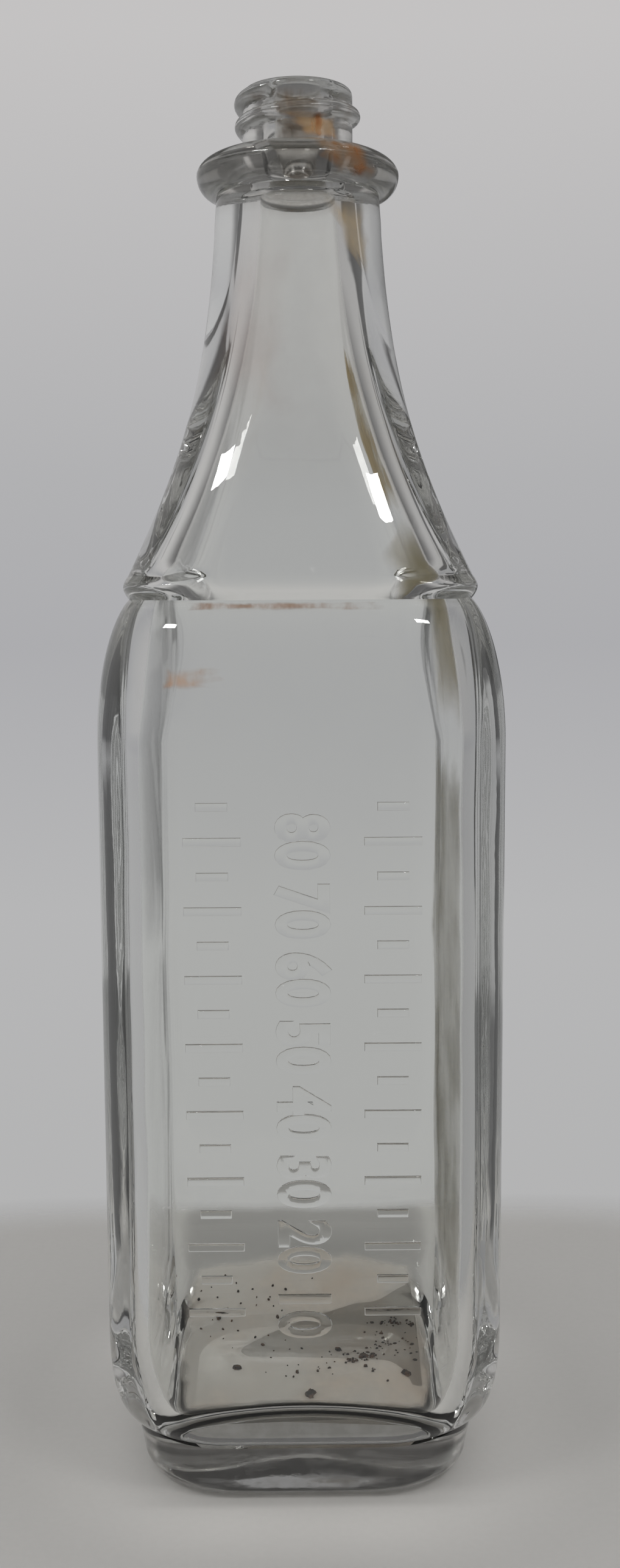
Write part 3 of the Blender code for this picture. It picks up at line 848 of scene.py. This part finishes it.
def ringAt(rings, height):
    for last, ring in zip(rings, rings[1:]):
        if last[0] <= height <= ring[0] and ring[0] > last[0]:
            share = (height - last[0]) / (ring[0] - last[0])
            return tuple(mix(a, b, share) for a, b in zip(last, ring))
    raise ValueError("no ring at this height")


def wallPlace(height, turn, isInner, lift):
    # A place on the glass, lifted off it towards the open side
    walls = innerWall if isInner else outerWall
    step, leastCorner = 0.0002, 0.0005
    below, above = ringAt(walls, height - step), ringAt(walls, height + step)
    width, corner = ringAt(walls, height)[1:]
    slope = math.atan2(above[1] - below[1], above[0] - below[0])
    out = -lift if isInner else lift
    offset = out * math.cos(slope)
    place = wallPoint(width + offset, max(corner + offset, leastCorner), turn, height, isInner)
    place.z -= out * math.sin(slope)
    return place


def outlineAt(rows, share):
    # The middle and width of a patch, as turns, at a share of the way up its rows
    for last, row in zip(rows, rows[1:]):
        if last[0] <= share <= row[0]:
            part = smoothShare(share, last[0], row[0])
            return mix(last[1], row[1], part), mix(last[2], row[2], part)
    return rows[-1][1], rows[-1][2]


def patchGrid(spec):
    # A flat grid from -1 to 1 both ways, with its own UV from 0 to 1
    columns, rows = spec["grid"]
    bm = bmesh.new()
    bmesh.ops.create_grid(bm, x_segments=columns, y_segments=rows, size=1.0)
    patch = bm.loops.layers.uv.new("patch")
    for face in bm.faces:
        for loop in face.loops:
            loop[patch].uv = ((loop.vert.co.x + 1) / 2, (loop.vert.co.y + 1) / 2)
    return bm


def finishPatch(name, bm, spec):
    # Gives a patch its looks and thickness and ties it to the bottle
    made = finished(name, bm, makeResidueFinish(name + "Finish", spec))
    thick = made.modifiers.new("thickness", "SOLIDIFY")
    thick.thickness = spec["deep"]
    thick.offset = 0.0
    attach(made, "root")
    if "nodes" in spec:
        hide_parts(*spec["nodes"])


# How patches stray from their outlines by noise: across, and then up the bottle
patchStray = {
    "acrossPlace": (1.5, 6.0),
    "upPlace": (3.0, 1.5),
    "upSeed": 20,
    "upShare": 0.3,
}


def makePatch(name, spec):
    # A thin dried patch that follows the glass. Rows give (share up it, middle, width) in turns.
    low, high = spec["heights"]
    bm = patchGrid(spec)
    for vert in bm.verts:
        across, along = vert.co.x, (vert.co.y + 1) / 2
        middle, width = outlineAt(spec["rows"], along)
        scaleX, scaleY = patchStray["acrossPlace"]
        stray = noise.noise(Vector((across * scaleX, along * scaleY, spec["seed"])))
        turn = middle + width / 2 * across * (1 + spec["ragged"] * stray)
        scaleX, scaleY = patchStray["upPlace"]
        drift = noise.noise(Vector((across * scaleX, along * scaleY, spec["seed"] + patchStray["upSeed"])))
        along += patchStray["upShare"] * spec["ragged"] * drift
        vert.co = wallPlace(mix(low, high, min(max(along, 0.0), 1.0)), turn, spec["isInner"], spec["lift"])
    bmesh.ops.recalc_face_normals(bm, faces=bm.faces)
    finishPatch(name, bm, spec)


umber = (0.13, 0.07, 0.025)     # what dried in the bore and the thread

# Each residue has its heights, rows and thickness, then its colours, cover and edge
residues = {
    # The tonic that dried inside, down the right-hand side. Turn 0 is the middle of that side.
    "bodyFilm": {
        "heights": (0.0226, 0.1062), "grid": (44, 110), "isInner": True, "lift": 0.00032, "deep": 0.00012,
        "rows": ((0.0, 0.0, 0.2), (0.3, 0.0, 0.22), (0.7, 0.0, 0.215), (1.0, 0.0, 0.21)), "scale": 90.0,
        "thin": (0.2, 0.175, 0.09), "thick": (0.15, 0.12, 0.05), "thickness": 0.5, "cover": (0.16, 0.46),
        "fray": 0.25, "softness": 0.22, "ragged": 0.1, "seed": 1.0, "slot": "dried_tonic",
        "nodes": ("film_body",),
    },
    "shoulderPool": {
        "heights": (0.1072, 0.1372), "grid": (40, 40), "isInner": True, "lift": 0.00032, "deep": 0.00012,
        "rows": ((0.0, 0.95, 0.12), (0.5, 0.925, 0.17), (0.78, 0.915, 0.26), (1.0, 0.945, 0.17)),
        "scale": 70.0, "thin": (0.38, 0.33, 0.2), "thick": (0.27, 0.22, 0.11), "thickness": 0.52,
        "cover": (0.14, 0.52), "fray": 0.45, "softness": 0.6, "ragged": 0.2, "seed": 2.0,
        "slot": "dried_tonic", "nodes": ("film_shoulder",),
    },
    "neckStreak": {
        "heights": (0.1372, 0.1612), "grid": (20, 50), "isInner": True, "lift": 0.0003, "deep": 0.00012,
        "rows": ((0.0, 0.985, 0.1), (0.5, 0.995, 0.09), (1.0, 1.005, 0.04)), "scale": 160.0,
        "thin": (0.5, 0.44, 0.3), "thick": (0.46, 0.33, 0.13), "thickness": 0.56, "cover": (0.3, 0.8),
        "fray": 0.4, "softness": 0.35, "ragged": 0.2, "seed": 3.0, "slot": "dried_tonic",
        "nodes": ("film_neck",),
    },
    "boreStain": {
        "heights": (0.1862, 0.1944), "grid": (24, 20), "isInner": True, "lift": 0.00022, "deep": 0.00008,
        "rows": ((0.0, 0.8, 0.34), (0.5, 0.78, 0.4), (1.0, 0.75, 0.44)), "scale": 380.0,
        "thin": (0.3, 0.21, 0.13), "thick": umber, "thickness": 0.5, "cover": (0.35, 0.85), "fray": 0.7,
        "softness": 0.5, "ragged": 0.2, "seed": 4.0, "slot": "brown_dribble", "nodes": ("film_bore",),
    },
    # The dribble outside, from the finish over the collar and down the neck, and the grime of handling
    "finishDribble": {
        "heights": (0.1877, 0.1912), "grid": (30, 24), "isInner": False, "lift": 0.00012, "deep": 0.0001,
        "rows": ((0.0, 0.825, 0.12), (0.5, 0.81, 0.14), (1.0, 0.785, 0.2)), "scale": 430.0,
        "thin": (0.62, 0.4, 0.18), "thick": (0.3, 0.11, 0.03), "thickness": 0.5, "cover": (0.3, 0.86),
        "fray": 0.7, "softness": 0.6, "ragged": 0.25, "seed": 5.0, "slot": "brown_dribble",
        "nodes": ("dribble_finish",),
    },
    "collarDribble": {
        "heights": (0.1818, 0.187), "grid": (30, 36), "isInner": False, "lift": 0.00012, "deep": 0.0001,
        "rows": ((0.0, 0.855, 0.09), (0.5, 0.825, 0.1), (1.0, 0.815, 0.12)), "scale": 260.0,
        "thin": (0.34, 0.2, 0.08), "thick": (0.22, 0.07, 0.015), "thickness": 0.46, "cover": (0.22, 0.8),
        "fray": 0.7, "softness": 0.6, "ragged": 0.35, "seed": 6.0, "slot": "brown_dribble",
        "nodes": ("dribble_ring",),
    },
    "neckDribble": {
        "heights": (0.169, 0.1806), "grid": (26, 50), "isInner": False, "lift": 0.0001, "deep": 0.0001,
        "rows": ((0.0, 0.885, 0.012), (0.4, 0.865, 0.07), (0.75, 0.848, 0.1), (1.0, 0.838, 0.11)),
        "scale": 240.0, "thin": (0.5, 0.4, 0.26), "thick": (0.42, 0.29, 0.14), "thickness": 0.42,
        "cover": (0.34, 0.74), "fray": 0.5, "softness": 0.75, "ragged": 0.3, "seed": 7.0,
        "slot": "brown_dribble", "nodes": ("dribble_neck",),
    },
    "threadGrime": {
        "heights": (0.1884, 0.1948), "grid": (80, 30), "isInner": False, "lift": 0.00006, "deep": 0.00004,
        "rows": ((0.0, 0.77, 0.42), (1.0, 0.74, 0.46)), "scale": 420.0, "thin": (0.34, 0.26, 0.18),
        "thick": umber, "thickness": 0.42, "cover": (0.04, 0.55), "fray": 0.9, "softness": 0.7, "ragged": 0.1,
        "seed": 8.0, "slot": "brown_dribble",
    },
    "neckHaze": {
        "heights": (0.149, 0.1792), "grid": (30, 60), "isInner": False, "lift": 0.00006, "deep": 0.00004,
        "rows": ((0.0, 0.675, 0.16), (0.3, 0.67, 0.17), (1.0, 0.67, 0.16)), "scale": 60.0,
        "thin": (0.5, 0.38, 0.33), "thick": (0.46, 0.31, 0.26), "thickness": 0.46, "cover": (0.03, 0.16),
        "fray": 0.6, "softness": 0.7, "ragged": 0.2, "seed": 9.0, "slot": "dried_tonic",
    },
    "bandGrime": {
        "heights": (0.1243, 0.1255), "grid": (70, 6), "isInner": False, "lift": 0.00005, "deep": 0.00004,
        "rows": ((0.0, 0.735, 0.115), (1.0, 0.735, 0.12)), "scale": 300.0, "thin": (0.4, 0.26, 0.17),
        "thick": (0.26, 0.13, 0.06), "thickness": 0.48, "cover": (0.1, 0.65), "fray": 1.1, "softness": 0.9,
        "ragged": 0.1, "seed": 10.0, "slot": "brown_dribble",
    },
    "shoulderStain": {
        "heights": (0.1142, 0.1172), "grid": (24, 16), "isInner": False, "lift": 0.00005, "deep": 0.00004,
        "rows": ((0.0, 0.7, 0.035), (1.0, 0.7, 0.035)), "scale": 260.0, "thin": (0.62, 0.36, 0.17),
        "thick": (0.52, 0.24, 0.08), "thickness": 0.5, "cover": (0.12, 0.6), "fray": 0.9, "softness": 0.9,
        "ragged": 0.2, "seed": 11.0, "slot": "brown_dribble",
    },
}

for name, spec in residues.items():
    makePatch(name, spec)
print("residues", len(residues))

# Chips of dried residue on the inner floor: place, width, thickness and turn of each
chips = {
    "chip1": (0.0007, -0.0166, 0.0021, 0.0005, 1.3),
    "chip2": (0.0146, -0.0102, 0.0014, 0.0005, 2.6),
    "chip3": (0.0086, -0.0058, 0.0016, 0.0004, 3.9),
    "chip4": (0.0049, -0.0037, 0.0012, 0.0004, 5.2),
    "chip5": (-0.0098, -0.0092, 0.0014, 0.0004, 6.5),
    "chip6": (-0.0131, 0.0053, 0.0012, 0.0004, 7.8),
}

# Small grains drifted on the inner floor. Drifts are (x, y, width, depth).
grit = {
    "count": 190,
    "seed": 5,
    "least": 0.00012,
    "most": 0.00036,
    "drifts": (
        (0.0138, 0.0032, 0.0040, 0.0008), (0.0125, -0.0020, 0.0045, 0.0040),
        (0.0090, -0.0060, 0.0030, 0.0020), (-0.0085, 0.0060, 0.0100, 0.0080),
        (0.0030, -0.0080, 0.0100, 0.0070),
    ),
}


# Matt dark crumbs, browner in clouded patches
crumb = {
    "dark": (0.018, 0.012, 0.009, 1),
    "brown": (0.11, 0.05, 0.02, 1),
    "scale": 900.0,
    "relief": 0.0001,
    "narrowing": 1.3,           # how much wider the underside is than the top
    "ragged": 0.60,
    "raggedScale": 2.1,
    "length": 0.7,
    "warp": 0.15,
    "gap": 0.00027,             # between the glass and its underside
    "rise": 0.6,                # from the gap to its middle, as a share of its depth
    "slopeReach": 0.0004,       # it lies on the slope of at least this much floor
}


def makeCrumb():
    made, tree, shader = newMaterial("darkCrumb")
    cloud = clouds(objectPlace(tree)[0], crumb["scale"], 4.0, 0.6)
    colour = blended(eased(cloud, 0.42, 0.66), crumb["dark"], crumb["brown"])
    feed(shader, Base_Color=colour, Roughness=eased(cloud, 0.3, 0.7, 0.85, 0.5))
    addBump(shader, cloud, crumb["relief"])
    return made


darkCrumb = makeCrumb()


def floorHeight(x, y):
    # The inner floor and the fillet round it, from the rings on either side of a place
    last = None
    for height, half, corner in floorRings(20):
        across, along = abs(x) - half + corner, abs(y) - half + corner
        over = math.hypot(max(across, 0.0), max(along, 0.0)) + min(max(across, along), 0.0) - corner
        if over <= 0:
            if last:
                height = mix(last[0], height, last[1] / (last[1] - over))
            break
        last = (height, over)
    return height - floorSink(x, y, height)


floorStain = {
    "reach": 0.0206, "cornerDraw": 0.16, "grid": (70, 70), "lift": 0.00016, "deep": 0.00008,
    "scale": 75.0, "thin": (0.88, 0.84, 0.78), "thick": (0.72, 0.61, 0.51), "thickness": 0.46,
    "cover": (0.40, 0.62), "fray": 0.25, "softness": 0.16, "slot": "dried_tonic",
}


def makeFloorStain():
    # What the last of the tonic left as it dried over the floor and a little way up the fillet
    bm = patchGrid(floorStain)
    for vert in bm.verts:
        x, y = vert.co.x, vert.co.y
        reach = floorStain["reach"] * (1 - floorStain["cornerDraw"] * x * x * y * y)
        x, y = x * reach, y * reach
        vert.co = (x, y, floorHeight(x, y) + floorStain["lift"])
    finishPatch("floorStain", bm, floorStain)


makeFloorStain()


def addCrumb(bm, x, y, width, depth, turn, seed, sides):
    # One irregular crumb, cut as a disc, narrower on top, bent by noise and laid on the floor's slope
    disc = bmesh.ops.create_cone(
        bm, cap_ends=True, cap_tris=True, segments=sides, radius1=width / 2,
        radius2=width / 2 / crumb["narrowing"], depth=depth,
    )["verts"]
    for vert in disc:
        heading = math.atan2(vert.co.y, vert.co.x)
        place = Vector((math.cos(heading), math.sin(heading), 0)) * crumb["raggedScale"]
        reach = 1 + crumb["ragged"] * noise.noise(Vector((place.x, place.y, seed)))
        vert.co.x *= reach
        vert.co.y *= reach * crumb["length"]
        place = Vector((vert.co.x * crumb["scale"], vert.co.y * crumb["scale"], seed + 3))
        vert.co.z += crumb["warp"] * depth * noise.noise(place)
    step = max(width / 2, crumb["slopeReach"])
    slopeX = floorHeight(x + step, y) - floorHeight(x - step, y)
    slopeY = floorHeight(x, y + step) - floorHeight(x, y - step)
    normal = Vector((-slopeX, -slopeY, 2 * step)).normalized()
    tilt = Vector((0, 0, 1)).rotation_difference(normal).to_matrix().to_4x4()
    rise = crumb["gap"] + crumb["rise"] * depth
    laid = Matrix.Translation(Vector((x, y, floorHeight(x, y))) + normal * rise) @ tilt
    bmesh.ops.transform(bm, matrix=laid @ Matrix.Rotation(turn, 4, "Z"), verts=disc)


for number, (name, (x, y, width, depth, turn)) in enumerate(chips.items(), start=1):
    bm = bmesh.new()
    addCrumb(bm, x, y, width, depth, turn, number * 3.7, sides=20)
    chip = finished(name, bm, darkCrumb, smooth=False)
    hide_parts(f"floor_flake_{number}")
    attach(chip, "root")


def makeGrit():
    dice = random.Random(grit["seed"])
    bm = bmesh.new()
    for number in range(grit["count"]):
        x, y, wide, deep = grit["drifts"][number % len(grit["drifts"])]
        size = mix(grit["least"], grit["most"], dice.random() ** 2)
        place = (dice.gauss(x, wide / 2), dice.gauss(y, deep / 2))
        addCrumb(bm, *place, 2 * size, size, dice.random() * 6, number, sides=6)
    made = finished("floorGrit", bm, darkCrumb, smooth=False)
    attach(made, "root")


makeGrit()
print("chips and grit")

# The camera that took the photograph, from the bottle's measured outline
view = {
    "place": (-0.0010, -0.2394, 0.1286),
    "pitch": math.radians(7.17),
    "yaw": math.radians(0.55),
    "roll": math.radians(0.30),
    "focalPixels": 2698.0,
    "framePixels": 2576.0,
    "sensor": 36.0,
    "nearest": 0.01,
}


def makeCamera():
    lens = bpy.data.cameras.new("photoCamera")
    lens.sensor_width = view["sensor"]
    lens.lens = view["sensor"] * view["focalPixels"] / view["framePixels"]
    lens.clip_start = view["nearest"]
    made = bpy.data.objects.new("photoCamera", lens)
    scene.collection.objects.link(made)
    pitch, yaw, roll = view["pitch"], view["yaw"], view["roll"]
    forward = Vector((math.sin(yaw) * math.cos(pitch), math.cos(yaw) * math.cos(pitch), -math.sin(pitch)))
    right = forward.cross(Vector((0, 0, 1))).normalized()
    up = right.cross(forward)
    axisX = right * math.cos(roll) - up * math.sin(roll)
    axisY = up * math.cos(roll) + right * math.sin(roll)
    turn = Matrix((axisX, axisY, -forward)).transposed().to_4x4()
    made.matrix_world = Matrix.Translation(view["place"]) @ turn
    scene.camera = made


makeCamera()

studio = {
    "tableReach": 0.083,        # half the pale table's width, with soft edges
    "tableSoftness": 0.010,
    "tableSize": 0.12,
    "tableSquareness": 6.0,     # how square its edge is, as a power
    "tableColour": (0.42, 0.41, 0.395, 1),
    "tableGrain": 900.0,
    "grainTone": (0.985, 1.015),
    "footSquareness": 3.0,
    "underLight": 2.40,         # the glass gathers light on the table under the bottle
    "underReach": (0.011, 0.018),
    "footShade": 0.82,          # and leaves the rim of the foot in shade
    "footReach": (0.0205, 0.0240),
    "contactShade": 1.22,       # and a little on the table close round the foot
    "contactReach": (0.026, 0.046),
    "contactShift": 0.003,
    "frontLight": 0.26,         # the table is lighter in front of the foot, where the glass throws light
    "frontStart": (-0.0235, -0.0255),
    "frontReach": (-0.044, -0.026),
    "frontWidth": (0.008, 0.030),
    "shadowDrop": -0.30,        # the bottle's own shadow lies straight behind it
    "shadowReach": (0.020, 0.030),
    "shadowStart": (0.024, 0.034),
    "lampPlaces": ((-51, 45.5), (40, 48)),      # headings from the front, and heights
    "lampDistance": 1.1,
    "lampAim": 0.14,
    "lampSize": (0.28, 0.06),
    "lampPower": 1.5,
    "skyStrength": 0.86,
    "boardSoftness": (0.02, 0.06),      # of the dark boards' edges, in height and in heading
    "roomColour": (0.07, 0.073, 0.076, 1),
    "roomRun": (0.35, -0.25),   # where the dark room begins and is full in outer mirrors, from back to front
    "ceiling": (0.38, 0.62, 1.0, 0.28),         # it darkens between two heights of view, to the last share
}

# The backdrop seen straight on, from low to high
backdropStops = (
    (0.0, (0.44, 0.44, 0.44)), (0.30, (0.47, 0.47, 0.475)), (0.46, (0.415, 0.415, 0.43)),
    (0.56, (0.44, 0.44, 0.45)), (0.80, (0.55, 0.54, 0.54)),
)

# How bright the backdrop shows inside the glass, as (heading, share) stops, by how the light came through
glassView = {
    "crossed": (
        (-180, 0.6), (-100, 1.1), (-75, 1.25), (-58, 1.01), (58, 0.98), (75, 1.15), (100, 1.1), (180, 0.6),
    ),
    "solid": ((-180, 0.6), (-60, 0.88), (0, 0.98), (60, 1.15), (100, 1.0), (180, 0.6)),
    "once": ((-180, 0.55), (-110, 0.85), (-10, 0.96), (12, 0.94), (30, 0.76), (110, 0.66), (180, 0.55)),
    "twice": ((-180, 0.50), (-60, 0.72), (60, 0.69), (180, 0.50)),
    "many": (
        (-180, 0.28), (-150, 0.28), (-138, 0.75), (-60, 0.88), (60, 0.88),
        (130, 0.98), (139, 0.28), (156, 0.40), (168, 0.80), (180, 0.28),
    ),
}

# Dark boards round the set, shown by the glass alone: which light, headings, heights and the share left
boards = (
    ("solid", (-38, 38), (-14, 32), 0.34),
    ("once", (-8, 62), (7.5, 15.5), 0.26),
    ("once", (3, 27), (-11, 2.5), 0.12),
    ("once", (-32, 32), (18, 58), 0.28),
    ("twice", (-16, 64), (-42, -6.5), 0.17),
    ("twice", (-64, -14), (-42, -14.5), 0.30),
    ("many", (-200, 200), (-50, -14), 0.42),
)


def squareReach(x, y, power):
    # How far out a place is, in rings that are squarer for a higher power
    powers = [worked("POWER", worked("ABSOLUTE", value), power) for value in (x, y)]
    return worked("POWER", plus(*powers), 1 / power)


def makeTable():
    # A pale matt table with a soft square edge, lit and shaded round the foot as the glass would do it
    made, tree, shader = newMaterial("paleTable", Roughness=0.6)
    place, split = objectPlace(tree)
    x, y = split["X"], split["Y"]
    aside = worked("ABSOLUTE", x)
    away = squareReach(x, worked("SUBTRACT", y, studio["contactShift"]), studio["footSquareness"])
    foot, contact = studio["footShade"], studio["contactShade"]
    light = eased(away, *studio["contactReach"], contact, 1.0)
    under = eased(away, *studio["underReach"], studio["underLight"] - foot, 0.0)
    light = plus(light, plus(under, eased(away, *studio["footReach"], foot - contact, 0.0)))
    shadow = eased(y, *studio["shadowStart"], 0.0, studio["shadowDrop"])
    light = plus(light, times(shadow, eased(aside, *studio["shadowReach"], 1.0, 0.0)))
    front = eased(y, *studio["frontStart"], 0.0, studio["frontLight"])
    front = times(front, eased(y, *studio["frontReach"]))
    light = plus(light, times(front, eased(aside, *studio["frontWidth"], 1.0, 0.0)))
    grain = clouds(place, studio["tableGrain"], 3.0, 0.6)
    light = times(light, eased(grain, 0.2, 0.8, *studio["grainTone"]))
    shaded = feed(newNode("ShaderNodeHueSaturation", light), Color=studio["tableColour"], Value=light)
    reach = squareReach(x, y, studio["tableSquareness"])
    edge, soft = studio["tableReach"], studio["tableSoftness"]
    feed(shader, Base_Color=shaded.outputs["Color"], Alpha=eased(reach, edge + soft, edge - soft))
    bm = bmesh.new()
    bmesh.ops.create_grid(bm, x_segments=2, y_segments=2, size=studio["tableSize"])
    table = finished("table", bm, made, smooth=False)


def makeLamps():
    for number, (heading, height) in enumerate(studio["lampPlaces"]):
        lamp = bpy.data.lights.new(f"lamp{number}", "AREA")
        lamp.shape = "RECTANGLE"
        lamp.size, lamp.size_y = studio["lampSize"]
        lamp.energy = studio["lampPower"]
        holder = bpy.data.objects.new(f"lamp{number}", lamp)
        holder.visible_camera = False
        scene.collection.objects.link(holder)
        heading, height = math.radians(heading), math.radians(height)
        level = math.cos(height)
        out = Vector((math.sin(heading) * level, -math.cos(heading) * level, math.sin(height)))
        holder.location = Vector((0, 0, studio["lampAim"])) + out * studio["lampDistance"]
        holder.rotation_euler = out.to_track_quat("Z", "Y").to_euler()


def makeWorld():
    # A pale backdrop, with a darker ceiling, sides and room in front where only the glass shows them
    world = bpy.data.worlds.new("studio")
    world.use_nodes = True
    scene.world = world
    tree = world.node_tree
    path = tree.nodes.new("ShaderNodeLightPath").outputs
    outward = tree.nodes.new("ShaderNodeTexCoord").outputs["Generated"]
    split = feed(newNode("ShaderNodeSeparateXYZ", outward), Vector=outward).outputs
    up = split["Z"]
    backdrop = ramp(plus(up, 0.5), backdropStops)
    bends, steps, seen = path["Glossy Depth"], path["Transmission Depth"], path["Is Camera Ray"]
    mirrored = worked("MINIMUM", bends, 1.0)
    plain = worked("SUBTRACT", 1.0, mirrored)
    # Light that no wall mirrored crossed the empty inside if it went in or out of glass over three times.
    # The rest is sorted by how often a wall mirrored it: once, two or three times, or more.
    crossed = times(plain, worked("GREATER_THAN", steps, 3.5))
    kinds = {
        "crossed": crossed,
        "solid": worked("SUBTRACT", worked("SUBTRACT", plain, crossed), seen),
        "once": worked("COMPARE", bends, 1.0, 0.1),
        "twice": worked("COMPARE", bends, 2.5, 0.6),
        "many": worked("GREATER_THAN", bends, 3.5),
    }
    heading = worked("ARCTAN2", split["X"], split["Y"])
    around = worked("MULTIPLY_ADD", heading, 0.5 / math.pi, 0.5)
    level = seen
    for name, kind in kinds.items():
        stops = [(turn / 360 + 0.5, (share, share, share)) for turn, share in glassView[name]]
        level = plus(level, times(kind, ramp(around, stops)))
    softHeight, softHeading = studio["boardSoftness"]
    for name, headings, heights, share in boards:
        low, high = (math.sin(math.radians(height)) for height in heights)
        left, right = (math.radians(turn) for turn in headings)
        shade = times(windowed(up, low, high, softHeight), windowed(heading, left, right, softHeading))
        level = times(level, worked("MULTIPLY_ADD", times(shade, kinds[name]), share - 1, 1.0))
    ceiling = worked("MAXIMUM", eased(up, *studio["ceiling"]), plus(seen, kinds["many"]))
    room = blended(1.0, backdrop, times(level, ceiling), "MULTIPLY")
    outer = times(mirrored, worked("LESS_THAN", steps, 0.5))
    room = blended(times(outer, eased(split["Y"], *studio["roomRun"])), room, studio["roomColour"])
    lighting = worked("MINIMUM", path["Diffuse Depth"], 1.0)
    light = blended(lighting, room, (studio["skyStrength"],) * 3 + (1,))
    feed(tree.nodes["Background"], Color=light)


makeTable()
makeLamps()
makeWorld()
